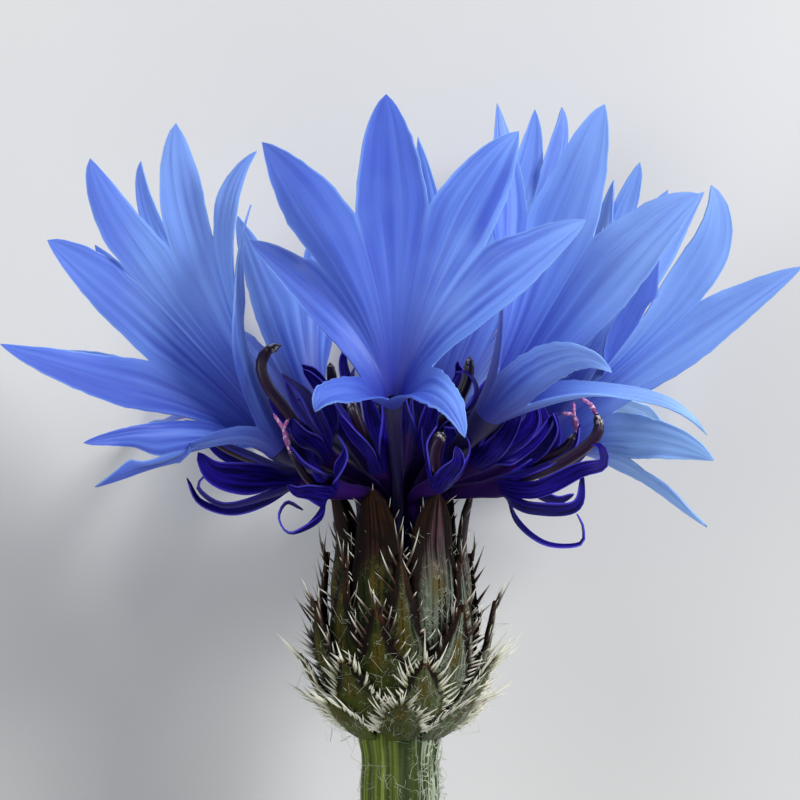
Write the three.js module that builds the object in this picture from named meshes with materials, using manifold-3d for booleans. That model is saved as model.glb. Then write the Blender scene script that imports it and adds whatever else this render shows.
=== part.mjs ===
// A cornflower head on a short length of its stem, lying on its side.
// Units are millimetres. The flower is laid out about its own axis: X to its
// right, Y from the stem up through the head, Z straight up from the surface
// it lies on. The whole is shifted at the end so it stands on Z = 0.
import * as THREE from "three";
import { mergeVertices } from "three/addons/utils/BufferGeometryUtils.js";
import Module from "manifold-3d";

const wasm = await Module();
wasm.setup();

// ---- driving dimensions ---------------------------------------------------
const GROUND = -14.4; // the surface, below the flower's axis
const FOOT = [-0.09, 1.47, -GROUND]; // from the flower's own axes to the middle of the space it takes
const STEM_LENGTH = 35;
const STEM_RADIUS = [1.95, 1.35]; // under the head, at the cut end
const RECEPTACLE_TOP = 2.75; // the florets stand here
const MOUTH = 11.7; // where the bundle of florets leaves the bracts
const BRACT_THICKNESS = 0.17;
const BRACTS_PER_ROW = 7;
const SPEARHEAD_ROWS = 4; // of the five rows
const TUBE_RADIUS = 0.24; // the narrow part of every floret
const RAY_RING = 2; // radius of the ring of ray florets in the mouth
const ROOT_SPREAD = 1.05; // florets stand a little wider on the receptacle than in the mouth
const ROOT_RISE = 0.12; // florets start this far above the receptacle
const WAIST_BELOW_MOUTH = 2.2; // florets still run straight up here
const TUBE_BEND = { share: 0.3, rise: 0.1 }; // where a floret turns outwards above the mouth
const OVARY_LENGTH = 2.4;
const OVARY_RADIUS = 0.3;
const RAY_THICKNESS = 0.2;
const RAY_CUP = 0.15; // how far a lobe's edges fall below its middle, as a share of its width
const RAY_THROAT = { front: 0.42, usual: 0.75 }; // radius where a trumpet starts to flare
// The usual curve of a lobe, as shares of its reach.
const LOBE_PULL = { near: 0.3, out: 0.04, far: 0.36, rise: 0.1 };
// Lobes start inside the throat: at a share of its radius, and this far below it.
const LOBE_ROOT = { rim: 0.85, depth: 0.25 };
const SEAM = { share: 0.52, lap: 0.07 }; // neighbouring lobes meet past half way, so that they join
const LEAST_HALF_WIDTH = 0.09; // of a lobe, at its tip
const DISC_THROAT = 0.5;
const DISC_LOBES = 5;
const DISC_LOBE_HALF_WIDTH = 0.34;
const DISC_LOBE_REACH = 2.5; // how far a strap rises before it curls out
const DISC_LOBE_THICKNESS = 0.14;
const ANTHER_RADIUS = 0.3;
const STYLE_RADIUS = 0.11;
const SLIVER = 0.02; // detail smaller than this is merged away

// Each row of bracts from the lowest: first azimuth in degrees (0 faces up),
// and the row's outer face as heights and radii from root to tip.
const BRACT_ROWS = [
  { turn: 0, face: [[0.35, 2.2], [0.9, 2.95], [1.6, 3.75], [2.4, 4.5]] },
  { turn: 17, face: [[0.9, 2.4], [1.7, 3.4], [2.9, 4.25], [4.6, 4.95]] },
  { turn: -14, face: [[1.4, 2.5], [2.2, 3.3], [3.6, 4.0], [5.2, 4.5], [7.3, 4.6]] },
  { turn: 4, face: [[1.9, 2.6], [2.7, 3.2], [4.2, 3.75], [6.5, 4.05], [9.8, 3.52]] },
  { turn: 33, face: [[2.35, 2.7], [3.2, 2.95], [5, 3.35], [8, 3.5], [10.2, 3.25], [12.9, 3.6]] },
];

// Ray florets: azimuth in the bundle, throat, and for every lobe its tip, its
// half width, and the points that pull its middle line near the tip and near
// the throat where it does not follow the usual curve.
const RAYS = [
  { name: "front", azimuth: -3, throat: [-0.34, 17.15, 8.6], lobes: [
    [[-7.34, 25.03, 7.6], 1.2],
    [[-6.66, 29.7, 9.6], 1.75, [-4.05, 26.16, 10.2]],
    [[-0.67, 31.99, 10.2], 1.7],
    [[5.74, 30.22, 9.9], 1.75, [3.37, 27.35, 10.6]],
    [[8.94, 25.9, 10.8], 1.7, [5.04, 23.25, 11]],
    [[3.1, 15.44, 12.9], 1, [2.48, 17.82, 13.2], [1.2, 18.45, 11]],
    [[-4.05, 16.68, 12.9], 1.15, [-3.71, 17.96, 13.2], [-2.4, 17.97, 11.2]]] },
  { name: "front_right", azimuth: 41, throat: [4.4, 16.66, 6], lobes: [
    [[4.76, 31.82, 5.2], 1.2],
    [[10.02, 31.72, 6.2], 1.6],
    [[14.56, 27.25, 8.2], 2, [11.63, 25.24, 8.6]],
    [[14.82, 15.56, 9.6], 0.75, [12.31, 19.18, 9.6], [7.28, 17.25, 8.2]],
    [[10.15, 18.54, 11.8], 1.15, [8.37, 20.6, 12], [5.8, 18.46, 9.4]]] },
  { name: "right", azimuth: 110, throat: [7.46, 14.83, -2.4], lobes: [
    [[12.98, 25.08, 2.6], 1.6],
    [[15.52, 27.98, 0.6], 1.35, [17.24, 24, 0.2]],
    [[20.12, 23.94, 0.4], 1.4, [15.74, 21.25, 0.2]],
    [[15.5, 14.24, 3.6], 1.15, [13.14, 15.76, 2.4]],
    [[15.26, 10.94, 1.6], 0.8, [12.44, 13.17, 1.4]],
    [[13.05, 14.44, -6.5], 1]] },
  { name: "under_right", azimuth: 131, throat: [7.15, 16.23, -5.8], lobes: [
    [[10.89, 28.45, -5], 0.9],
    [[12.2, 29.35, -4.6], 1.1],
    [[13.65, 27.95, -5.2], 0.9],
    [[15.56, 27.9, -6.6], 1.1, [13.89, 25.93, -6]],
    [[15.54, 20.88, -10], 1.4],
    [[14.11, 15.14, -14.8], 1.4],
    [[8.75, 14.72, -15.2], 1.2]] },
  { name: "under", azimuth: 170, throat: [2.06, 16.48, -8.6], lobes: [
    [[0.93, 30.84, -9.4], 1.2, [1.55, 27.06, -9]],
    [[6.98, 32.29, -9.4], 1.1, [7.02, 28.09, -9]],
    [[8.36, 32.37, -9], 0.9, [9.03, 29.12, -9]],
    [[8.97, 24.11, -15.5], 1.5],
    [[4.76, 14.71, -15.9], 1.4],
    [[-1.48, 18.31, -15.9], 1.4]] },
  { name: "under_left", azimuth: -149, throat: [-4.37, 16.33, -7.6], lobes: [
    [[-3.3, 28.19, -8.8], 1.3],
    [[-8.38, 26.77, -9.6], 1.2],
    [[-10.24, 21.47, -15.5], 1.4],
    [[-8.71, 14.72, -15.4], 1.3],
    [[-3.16, 14.09, -14.8], 1.2]] },
  { name: "left_low", azimuth: -108, throat: [-6.97, 15.48, -2.9], lobes: [
    [[-10.54, 25.68, -1], 1.2],
    [[-13.05, 29.29, -2.2], 0.85, [-13.42, 26.59, -2.6]],
    [[-15.48, 25.12, -4.2], 1.2],
    [[-17.33, 19.71, -7], 1.4],
    [[-13.71, 15.56, -15.2], 1.2]] },
  { name: "left", azimuth: -62, throat: [-6.03, 15.03, 3.2], lobes: [
    [[-7.27, 26.77, 6.6], 0.85, [-8.69, 22.62, 6.6]],
    [[-7.03, 29.49, 4.6], 1, [-10.21, 26.82, 5]],
    [[-11.06, 30.93, 3.4], 1.4, [-11.27, 26.39, 3.2]],
    [[-15.31, 29.2, 3.4], 1.25, [-14.24, 24.92, 3]],
    [[-17.47, 25.17, 2.8], 1.5],
    [[-19.76, 20.02, 3.4], 1.4, [-15.57, 17.99, 3.2]],
    [[-15.55, 15.14, 5.2], 0.6, [-13.28, 15.68, 4.6]],
    [[-15.04, 12.96, 3.8], 0.8, [-12.33, 14.19, 3.8]]] },
];

// Disc florets: azimuth in the bundle and radius in the mouth, throat, and the
// line of the anther tube from the throat to the tip of the style.
const DISCS = [
  { name: "outer_1", ring: [-84, 1.5], throat: [-4.99, 13.36, 0.8],
    anther: [[-6.87, 14.11, 1.2], [-8.66, 14.91, 1.4], [-9.55, 15.66, 1.5], [-9.65, 16.45, 1.5]] },
  { name: "outer_2", ring: [-32, 1.5], throat: [-3.45, 12.92, 4.2],
    anther: [[-4.32, 13.17, 5], [-4.95, 13.97, 5.4], [-5.39, 14.8, 5.4]] },
  { name: "outer_3", ring: [19, 1.5], throat: [1.92, 13.22, 4.8],
    anther: [[1.67, 14.01, 5.2], [1.72, 14.9, 5.4], [2.11, 15.68, 5.6]] },
  { name: "outer_4", ring: [67, 1.5], throat: [5.06, 12.98, 2],
    anther: [[6.93, 13.63, 2.6], [8.56, 14.48, 2.8], [9.6, 15.32, 2.8],
      [9.85, 16.01, 2.8], [9.65, 16.66, 2.8]] },
  { name: "outer_5", ring: [90, 1.5], throat: [5.9, 13.85, 0],
    anther: [[7.23, 14.36, 0.9], [8.21, 14.86, 1.3], [8.8, 15.61, 1.6]] },
  { name: "outer_6", ring: [151, 1.5], throat: [2.64, 14.06, -4.6],
    anther: [[3.47, 15.21, -5.8], [4.09, 15.97, -6.4], [4.4, 16.99, -6.4]] },
  { name: "outer_7", ring: [191, 1.5], throat: [-0.81, 13.99, -5],
    anther: [[-1.13, 14.95, -6.4], [-1.33, 15.97, -7.2], [-1.23, 17.15, -7.4]] },
  { name: "outer_8", ring: [232, 1.5], throat: [-3.95, 13.7, -3.6],
    anther: [[-5.09, 14.6, -4.9], [-5.81, 15.31, -5.6], [-6.23, 16.23, -5.8]] },
  { name: "inner_1", ring: [-60, 0.85], throat: [-3.75, 14.49, 4],
    anther: [[-4.86, 15.78, 4.8], [-5.84, 17.05, 5.2], [-6.52, 17.99, 5.5],
      [-6.81, 18.92, 5.5], [-6.52, 19.65, 5.3], [-5.79, 19.95, 5.1]] },
  { name: "inner_2", ring: [0, 0.85], throat: [-1.04, 13.99, 3.2],
    anther: [[-1.53, 14.98, 4], [-2.07, 16.17, 4.3], [-2.46, 17.25, 4.3]] },
  { name: "inner_3", ring: [60, 0.85], throat: [3.86, 14.23, 3],
    anther: [[4.54, 15.37, 3.6], [5.28, 16.61, 3.8], [5.82, 17.5, 3.8], [6.12, 18.29, 3.6]] },
  { name: "inner_4", ring: [120, 0.85], throat: [2.32, 15.4, -2.2],
    anther: [[2.83, 16.74, -3], [3.24, 18.01, -3.4], [3.44, 19.17, -3.4]] },
  { name: "inner_5", ring: [180, 0.85], throat: [0.2, 15.33, -2.6],
    anther: [[0.3, 16.64, -3.4], [0.41, 17.86, -4], [0.51, 19.18, -4]] },
  { name: "inner_6", ring: [240, 0.85], throat: [-2.21, 15.24, -1.8],
    anther: [[-2.83, 16.49, -2.6], [-3.34, 17.76, -3], [-3.54, 19.17, -3]] },
  { name: "centre", ring: [0, 0], throat: [1.19, 14.96, 1.8],
    anther: [[2.18, 16.36, 2.4], [2.97, 17.45, 2.7], [3.37, 18.49, 2.8], [3.46, 19.43, 2.8]] },
];

// ---- colours --------------------------------------------------------------
const paint = (color, roughness) => new THREE.MeshStandardMaterial({ color, roughness, metalness: 0 });
const STEM_GREEN = paint(0x6f8450, 0.8);
const BRACT_GREEN = paint(0x59603f, 0.75);
const RAY_BLUE = paint(0x6f93ee, 0.55);
const DISC_VIOLET = paint(0x46329a, 0.5);

// ---- shaping helpers ------------------------------------------------------
const vec = (p) => new THREE.Vector3(...p);

// A point at an azimuth about the flower's axis: 0 is straight up.
function around(azimuth, radius, height) {
  const angle = THREE.MathUtils.degToRad(azimuth);
  return new THREE.Vector3(radius * Math.sin(angle), height, radius * Math.cos(angle));
}

// Nothing sinks under the surface the flower lies on.
function settle(point, clearance) {
  point.z = Math.max(point.z, GROUND + clearance);
  return point;
}

function solid(geometry) {
  geometry.deleteAttribute("normal");
  geometry.deleteAttribute("uv");
  const welded = mergeVertices(geometry, 1e-4);
  return new wasm.Manifold(new wasm.Mesh({
    numProp: 3,
    vertProperties: new Float32Array(welded.attributes.position.array),
    triVerts: new Uint32Array(welded.index.array),
  }));
}

function toGeometry(manifold) {
  const mesh = manifold.getMesh();
  const geometry = new THREE.BufferGeometry();
  geometry.setAttribute("position", new THREE.BufferAttribute(mesh.vertProperties, 3));
  geometry.setIndex(new THREE.BufferAttribute(mesh.triVerts, 1));
  return geometry.toNonIndexed();
}

// Moves every vertex of a geometry by a rule.
function reshape(geometry, rule) {
  const points = geometry.attributes.position;
  const p = new THREE.Vector3();
  for (let i = 0; i < points.count; i += 1) {
    const q = rule(p.fromBufferAttribute(points, i));
    points.setXYZ(i, q.x, q.y, q.z);
  }
  return geometry;
}

// A turned solid bent along a curve. The profile is pairs of radius and
// fraction of the curve; `side` is a direction the curve never takes.
function bentTube(curve, profile, side, sides) {
  const outline = profile.map(([radius, along]) => new THREE.Vector2(radius, along));
  const turned = new THREE.LatheGeometry(outline, sides);
  return solid(reshape(turned, (p) => {
    const along = THREE.MathUtils.clamp(p.y, 0, 1);
    const tangent = curve.getTangentAt(along);
    const across = new THREE.Vector3().crossVectors(side, tangent).normalize();
    const other = new THREE.Vector3().crossVectors(tangent, across).normalize();
    const middle = curve.getPointAt(along);
    return settle(middle.addScaledVector(across, p.x).addScaledVector(other, -p.z), 0);
  }));
}

// A thin blade over a middle surface place(u, v): u from root to tip, v from
// edge to edge (-1 to 1).
function blade(place, thickness, across, along) {
  const box = new THREE.BoxGeometry(2, 1, 1, across, 1, along).translate(0, 0, 0.5);
  const step = 0.01;
  return solid(reshape(box, (p) => {
    const [u, v] = [p.z, p.x];
    const ahead = place(Math.min(u + step, 1), 0).sub(place(Math.max(u - step, 0), 0));
    const sideways = place(u, 1).sub(place(u, -1));
    const face = new THREE.Vector3().crossVectors(ahead, sideways).normalize();
    return place(u, v).addScaledVector(face, p.y * thickness);
  }));
}

// Joins pieces into one body, drops slivers finer than a petal's surface and
// fills any pocket shut inside.
function union(pieces) {
  const whole = pieces.reduce((sum, piece) => sum.add(piece)).simplify(SLIVER);
  return whole.decompose().sort((a, b) => b.volume() - a.volume())[0];
}

// ---- stem and receptacle --------------------------------------------------
function stem() {
  const [top, end] = STEM_RADIUS;
  const curve = new THREE.CubicBezierCurve3(
    vec([0, RECEPTACLE_TOP, 0]),
    vec([0, -12, 0.6]),
    vec([0.4, -STEM_LENGTH * 0.7, GROUND * 0.78]),
    vec([0.9, -STEM_LENGTH, GROUND + end - 0.03]),
  );
  const length = curve.getLength();
  const at = (height) => (RECEPTACLE_TOP - height) / length;
  const profile = [
    [0, 0], [2.35, 0], [2.3, at(2.1)], [2.05, at(1.1)], [1.8, at(0.3)], [top, at(-0.6)],
    [top * 0.96, at(-4)], [1.7, 0.3], [1.55, 0.5], [1.45, 0.7], [end, 0.86], [end, 1], [0, 1],
  ];
  return bentTube(curve, profile, new THREE.Vector3(1, 0, 0), 14);
}

// ---- bracts ---------------------------------------------------------------
// The half width of a bract as a share of its sector, from root to tip: the
// lower scales are spearheads, the innermost ones broad straps.
const spline = (points) => new THREE.SplineCurve(points.map(([u, share]) => new THREE.Vector2(u, share)));
const SPEARHEAD = spline([[0, 0.7], [0.35, 0.95], [0.58, 0.8], [0.76, 0.5], [0.9, 0.22], [1, 0.07]]);
const STRAP = spline([[0, 0.62], [0.45, 0.92], [0.72, 0.92], [0.86, 0.78], [0.95, 0.46], [1, 0.1]]);

function bract(row, index) {
  const { turn, face } = BRACT_ROWS[row];
  const outline = new THREE.SplineCurve(face.map(([height, radius]) => new THREE.Vector2(radius, height)));
  const sector = 180 / BRACTS_PER_ROW;
  const azimuth = turn + index * 2 * sector;
  const longer = 1 - 0.03 * Math.abs(Math.sin(2.4 * index + row));
  const shape = row < SPEARHEAD_ROWS ? SPEARHEAD : STRAP;
  return blade((u, v) => {
    const at = outline.getPoint(u * longer);
    const half = shape.getPoint(u).y * sector;
    return around(azimuth + v * half, at.x - BRACT_THICKNESS / 2, at.y);
  }, BRACT_THICKNESS, 2, 4);
}

// ---- florets --------------------------------------------------------------
// The way up from the ovary on the receptacle, through the mouth of the cup.
function floretPath(azimuth, mouthRadius, throat) {
  const root = around(azimuth, mouthRadius * ROOT_SPREAD, RECEPTACLE_TOP + ROOT_RISE);
  const waist = around(azimuth, mouthRadius * ROOT_SPREAD, MOUTH - WAIST_BELOW_MOUTH);
  const mouth = around(azimuth, mouthRadius, MOUTH);
  const out = throat.clone().sub(mouth);
  const bend = mouth.clone().addScaledVector(out, TUBE_BEND.share);
  bend.y += out.length() * TUBE_BEND.rise;
  return new THREE.CatmullRomCurve3([root, waist, mouth, bend, throat], false, "centripetal");
}

function floretTube(curve, azimuth, throatRadius, sides) {
  const length = curve.getLength();
  const ovary = OVARY_LENGTH / length;
  const profile = [
    [0, 0], [OVARY_RADIUS * 0.7, 0], [OVARY_RADIUS, ovary * 0.7], [TUBE_RADIUS, ovary * 1.1],
    [TUBE_RADIUS, 0.62], [TUBE_RADIUS * 1.15, 0.8], [throatRadius * 0.75, 0.93],
    [throatRadius, 1], [throatRadius * 0.7, 1], [0, 0.95],
  ];
  const side = around(azimuth + 90, 1, 0);
  return bentTube(curve, profile, side, sides);
}

// Shares the throat's rim evenly among the lobes, turned to suit where they go.
function shareRim(throat, forward, tips) {
  const east = new THREE.Vector3().crossVectors(forward, new THREE.Vector3(0.31, 0.2, 0.93)).normalize();
  const north = new THREE.Vector3().crossVectors(forward, east);
  const share = (2 * Math.PI) / tips.length;
  const fit = [1, -1].map((sense) => {
    let [c, s] = [0, 0];
    tips.forEach((tip, i) => {
      const away = tip.clone().sub(throat);
      const angle = Math.atan2(away.dot(north), away.dot(east)) - sense * i * share;
      c += Math.cos(angle);
      s += Math.sin(angle);
    });
    return { sense, start: Math.atan2(s, c), quality: Math.hypot(c, s) };
  }).sort((a, b) => b.quality - a.quality)[0];
  return tips.map((_, i) => {
    const bearing = fit.start + fit.sense * i * share;
    return east.clone().multiplyScalar(Math.cos(bearing)).addScaledVector(north, Math.sin(bearing));
  });
}

// The way a trumpet faces as a whole: between its lobes, the long ones counting most.
function mainAxis(throat, tips) {
  const sum = new THREE.Vector3();
  tips.forEach((tip) => {
    const way = tip.clone().sub(throat);
    sum.addScaledVector(way, way.length());
  });
  return sum.normalize();
}

// The width of a lobe along its length: a slow swell, then a point.
const LOBE_SHAPE = new THREE.SplineCurve([
  new THREE.Vector2(0, 0.5), new THREE.Vector2(0.35, 0.85), new THREE.Vector2(0.6, 1),
  new THREE.Vector2(0.8, 0.75), new THREE.Vector2(1, 0.08),
]);

function rayLobes(throat, forward, radius, lobes) {
  const tips = lobes.map(([tip]) => vec(tip));
  const outs = shareRim(throat, forward, tips);
  const axis = mainAxis(throat, tips);
  const ribs = lobes.map(([, , far, near], i) => {
    const start = throat.clone().addScaledVector(outs[i], radius * LOBE_ROOT.rim)
      .addScaledVector(forward, -LOBE_ROOT.depth);
    const reach = tips[i].distanceTo(start);
    const usualNear = start.clone().addScaledVector(axis, reach * LOBE_PULL.near)
      .addScaledVector(outs[i], reach * LOBE_PULL.out);
    const usualFar = tips[i].clone().lerp(start, LOBE_PULL.far).addScaledVector(axis, reach * LOBE_PULL.rise);
    return new THREE.CubicBezierCurve3(
      start,
      near ? vec(near) : usualNear,
      far ? vec(far) : usualFar,
      tips[i],
    );
  });
  return lobes.map(([, halfWidth], i) => {
    const before = ribs[(i + ribs.length - 1) % ribs.length];
    const after = ribs[(i + 1) % ribs.length];
    return blade((u, v) => {
      const middle = ribs[i].getPoint(u);
      const ahead = ribs[i].getTangent(u);
      // The lobe lies flat towards its two neighbours.
      const towards = (rib) => rib.getPoint(u).sub(middle).normalize();
      const flat = towards(after).sub(towards(before));
      flat.addScaledVector(ahead, -flat.dot(ahead)).normalize();
      const apart = (v < 0 ? before : after).getPoint(u).distanceTo(middle);
      const widest = halfWidth * LOBE_SHAPE.getPoint(u).y;
      const half = Math.max(Math.min(widest, apart * SEAM.share + SEAM.lap), LEAST_HALF_WIDTH);
      const face = new THREE.Vector3().crossVectors(flat, ahead).normalize();
      const point = middle.addScaledVector(flat, v * half)
        .addScaledVector(face, -RAY_CUP * Math.abs(v) * half);
      return settle(point, RAY_THICKNESS / 2);
    }, RAY_THICKNESS * (i % 2 ? 1 : 0.8), 2, 4); // unequal, so faces never coincide where lobes join
  });
}

function rayFloret({ name, azimuth, throat, lobes }) {
  const top = vec(throat);
  const radius = RAY_THROAT[name] || RAY_THROAT.usual;
  const curve = floretPath(azimuth, RAY_RING, top);
  const forward = curve.getTangentAt(1);
  const tube = floretTube(curve, azimuth, radius, 7);
  return union([tube, ...rayLobes(top, forward, radius, lobes)]);
}

function discFloret({ ring: [azimuth, radius], throat, anther }) {
  const top = vec(throat);
  const curve = floretPath(azimuth, radius, top);
  const forward = curve.getTangentAt(1);
  const side = around(azimuth + 90, 1, 0);
  const other = new THREE.Vector3().crossVectors(forward, side).normalize();
  const across = new THREE.Vector3().crossVectors(other, forward).normalize();
  const pieces = [floretTube(curve, azimuth, DISC_THROAT, 5)];
  for (let i = 0; i < DISC_LOBES; i += 1) {
    const angle = ((i + 0.5) * 2 * Math.PI) / DISC_LOBES;
    const out = across.clone().multiplyScalar(Math.cos(angle)).addScaledVector(other, Math.sin(angle));
    const start = top.clone().addScaledVector(out, DISC_THROAT * 0.8).addScaledVector(forward, -0.2);
    const midrib = new THREE.CubicBezierCurve3(
      start,
      start.clone().addScaledVector(forward, DISC_LOBE_REACH * 0.5),
      start.clone().addScaledVector(forward, DISC_LOBE_REACH).addScaledVector(out, DISC_LOBE_REACH * 0.25),
      start.clone().addScaledVector(forward, DISC_LOBE_REACH).addScaledVector(out, DISC_LOBE_REACH * 0.6),
    );
    const sideways = new THREE.Vector3().crossVectors(forward, out).normalize();
    pieces.push(blade((u, v) => {
      const half = DISC_LOBE_HALF_WIDTH * (0.5 + 2.4 * u * (1 - u) - 0.2 * u);
      return midrib.getPoint(u).addScaledVector(sideways, v * half);
    }, DISC_LOBE_THICKNESS, 1, 3));
  }
  const column = new THREE.CatmullRomCurve3(
    [top.clone().addScaledVector(forward, -1.1), top, ...anther.map(vec)], false, "centripetal",
  );
  const swell = [[0, 0], [ANTHER_RADIUS * 0.6, 0], [ANTHER_RADIUS, 0.5], [ANTHER_RADIUS, 0.8],
    [STYLE_RADIUS, 0.88], [STYLE_RADIUS, 1], [0, 1]];
  pieces.push(bentTube(column, swell, side, 5));
  return union(pieces);
}

// ---- the flower -----------------------------------------------------------
const flower = new THREE.Group();
flower.name = "cornflower";

function add(name, manifold, material, parent) {
  const mesh = new THREE.Mesh(toGeometry(manifold), material);
  mesh.name = name;
  parent.add(mesh);
}

add("stem_and_receptacle", stem(), STEM_GREEN, flower);

const involucre = new THREE.Group();
BRACT_ROWS.forEach((_, row) => {
  for (let index = 0; index < BRACTS_PER_ROW; index += 1) {
    add(`bract_${row + 1}_${index + 1}`, bract(row, index), BRACT_GREEN, involucre);
  }
});
flower.add(involucre);

const head = new THREE.Group();
RAYS.forEach((ray) => add(`ray_floret_${ray.name}`, rayFloret(ray), RAY_BLUE, head));
DISCS.forEach((disc) => add(`disc_floret_${disc.name}`, discFloret(disc), DISC_VIOLET, head));
flower.add(head);

flower.position.set(...FOOT);

const group = new THREE.Group();
group.add(flower);
export default group;
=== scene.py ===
# %% [markdown]
# # A cut cornflower, laid on its side
#
# A cornflower head is not one flower but a bunch of small ones, called florets. An outer ring of large
# blue trumpets draws the insects in, and a middle of small violet florets makes the seed. A cup of
# overlapping scales, the bracts, holds the bunch together on top of the stem. This lesson makes each of
# these with a few grids that are bent into place, so one idea serves for petals, tubes, scales and stem.

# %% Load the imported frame
import math
import random

import bmesh
import bpy
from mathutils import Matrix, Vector


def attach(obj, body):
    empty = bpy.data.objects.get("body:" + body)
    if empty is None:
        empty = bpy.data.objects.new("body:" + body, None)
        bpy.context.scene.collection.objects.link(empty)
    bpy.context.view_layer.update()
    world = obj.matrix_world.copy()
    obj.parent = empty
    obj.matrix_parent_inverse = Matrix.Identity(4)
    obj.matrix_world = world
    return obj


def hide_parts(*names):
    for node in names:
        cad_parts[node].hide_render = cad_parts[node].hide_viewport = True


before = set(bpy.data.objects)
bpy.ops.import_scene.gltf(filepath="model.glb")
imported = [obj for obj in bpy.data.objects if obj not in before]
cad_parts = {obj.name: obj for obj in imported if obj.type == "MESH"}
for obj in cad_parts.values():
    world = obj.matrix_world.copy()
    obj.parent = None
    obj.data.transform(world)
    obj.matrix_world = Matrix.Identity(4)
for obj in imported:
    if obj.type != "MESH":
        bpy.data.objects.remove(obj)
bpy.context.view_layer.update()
print("pieces in the frame:", len(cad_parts))

# %% [markdown]
# ## One set of measures
#
# The flower is worked out in millimetres about its own axis: x to its right, y up the axis from the
# foot of the bract cup, z up from the surface. It could be modelled standing and turned over at the end,
# but then every petal that rests on the surface would have to be guessed. Working in the lying pose lets
# a petal simply stop where the surface is.

# %% Measures shared by all pieces
MM = 0.001
FOOT = Vector((-0.09, 1.47, 14.4))  # the foot of the bract cup, over the frame's origin
GROUND = -FOOT.z
RECEPTACLE_TOP = 2.75
MOUTH = 11.7  # where the bundle of florets leaves the bracts
PETAL_THICKNESS = 0.09
MERGE = 0.002  # points nearer than this are one point


def around(azimuth, radius, height):
    """A point about the flower's axis; azimuth 0 faces straight up, 90 to the right."""
    angle = math.radians(azimuth)
    return Vector((radius * math.sin(angle), height, radius * math.cos(angle)))


def bezier(p0, p1, p2, p3, u):
    w = 1 - u
    return p0 * w**3 + p1 * (3 * w * w * u) + p2 * (3 * w * u * u) + p3 * u**3


def smooth(t):
    """An even ease from 0 to 1."""
    t = min(max(t, 0.0), 1.0)
    return t * t * (3 - 2 * t)


def rounded(a, b, c, d, t):
    """From b to c at share t, on the smooth line that also runs through a and d."""
    return (b * 2 + (c - a) * t + (a * 2 - b * 5 + c * 4 - d) * t * t
            + (b * 3 - a - c * 3 + d) * t**3) / 2


def through(points, steps):
    """An evenly stepped smooth line through some points."""
    lengths = [0.0]
    for a, b in zip(points, points[1:]):
        lengths.append(lengths[-1] + (b - a).length)
    line = []
    for k in range(steps + 1):
        want = lengths[-1] * k / steps
        i = max(n for n in range(len(points) - 1) if lengths[n] <= want + 1e-9)
        t = (want - lengths[i]) / (lengths[i + 1] - lengths[i])
        b, c = points[i], points[i + 1]
        a = points[i - 1] if i else b * 2 - c
        d = points[i + 2] if i + 2 < len(points) else c * 2 - b
        line.append(rounded(a, b, c, d, t))
    return line


def along_line(points, u):
    """A value at share u of a list of (share, value) steps, eased between them."""
    for (a, low), (b, high) in zip(points, points[1:]):
        if u <= b:
            return low + (high - low) * smooth((u - a) / (b - a))
    return points[-1][1]


print("stands over", tuple(FOOT), "mm")

# %% [markdown]
# ## Camera, light and floor
#
# A flower this small is best seen through a long lens, which keeps near and far petals the same size.
# Here it hangs straight above the flower. One large soft lamp gives the petals their form, a weaker one
# opens the shadows, and the pale floor throws some light back from below.

# %% Camera
LENS = 250
SENSOR = 36
VIEW_WIDTH = 40  # mm of flower across the view
VIEW_CENTRE = Vector((0, 17.25, 0))

camera_data = bpy.data.cameras.new("camera")
camera_data.lens = LENS
camera_data.sensor_width = SENSOR
camera = bpy.data.objects.new("camera", camera_data)
bpy.context.collection.objects.link(camera)
distance = VIEW_WIDTH / SENSOR * LENS
camera.location = (FOOT + VIEW_CENTRE + Vector((0, 0, distance))) * MM
bpy.context.scene.camera = camera
print("camera is", round(distance), "mm above the flower's axis")


# %% Lamps and floor
def lamp(name, place, size, watts, colour=(1, 1, 1)):
    data = bpy.data.lights.new(name, "AREA")
    data.shape = "DISK"
    data.size = size * MM
    data.energy = watts
    data.color = colour
    made = bpy.data.objects.new(name, data)
    bpy.context.collection.objects.link(made)
    made.location = (FOOT + Vector(place)) * MM
    aim = (FOOT + Vector((0, 14, 0))) * MM - made.location
    made.rotation_euler = aim.to_track_quat("-Z", "Y").to_euler()
    return made


lamp("key", (205, 175, 195), 120, 1.12)
lamp("fill", (-190, 60, 190), 190, 0.27, (0.92, 0.95, 1))
lamp("low", (-20, -220, 90), 160, 0.16)

world = bpy.data.worlds.new("studio")
world.use_nodes = True
world.node_tree.nodes["Background"].inputs["Color"].default_value = (0.9, 0.93, 1, 1)
world.node_tree.nodes["Background"].inputs["Strength"].default_value = 0.2
bpy.context.scene.world = world
bpy.context.scene.view_settings.view_transform = "Standard"

FLOOR_SIZE = 1.2
floor_bm = bmesh.new()
bmesh.ops.create_grid(floor_bm, x_segments=1, y_segments=1, size=FLOOR_SIZE / 2)
floor_mesh = bpy.data.meshes.new("floor")
floor_bm.to_mesh(floor_mesh)
floor_bm.free()
floor = bpy.data.objects.new("floor", floor_mesh)
bpy.context.collection.objects.link(floor)
floor_paint = bpy.data.materials.new("floor_paint")
floor_paint.use_nodes = True
floor_shader = floor_paint.node_tree.nodes["Principled BSDF"]
floor_shader.inputs["Base Color"].default_value = (0.68, 0.68, 0.67, 1)
floor_shader.inputs["Roughness"].default_value = 0.9
floor_mesh.materials.append(floor_paint)
print("floor is", FLOOR_SIZE, "m wide")

# %% [markdown]
# ## A small kit for finishes
#
# Plant skin is never one colour: it has veins, stripes and blotches that follow the way it grew. Image
# textures could carry them, but a procedure keeps its detail at any distance. Each sheet below carries a
# UV map whose x says which lobe a point is on and how far across it is, and whose y says how far along,
# so a finish can draw its veins along the petal.


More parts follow.
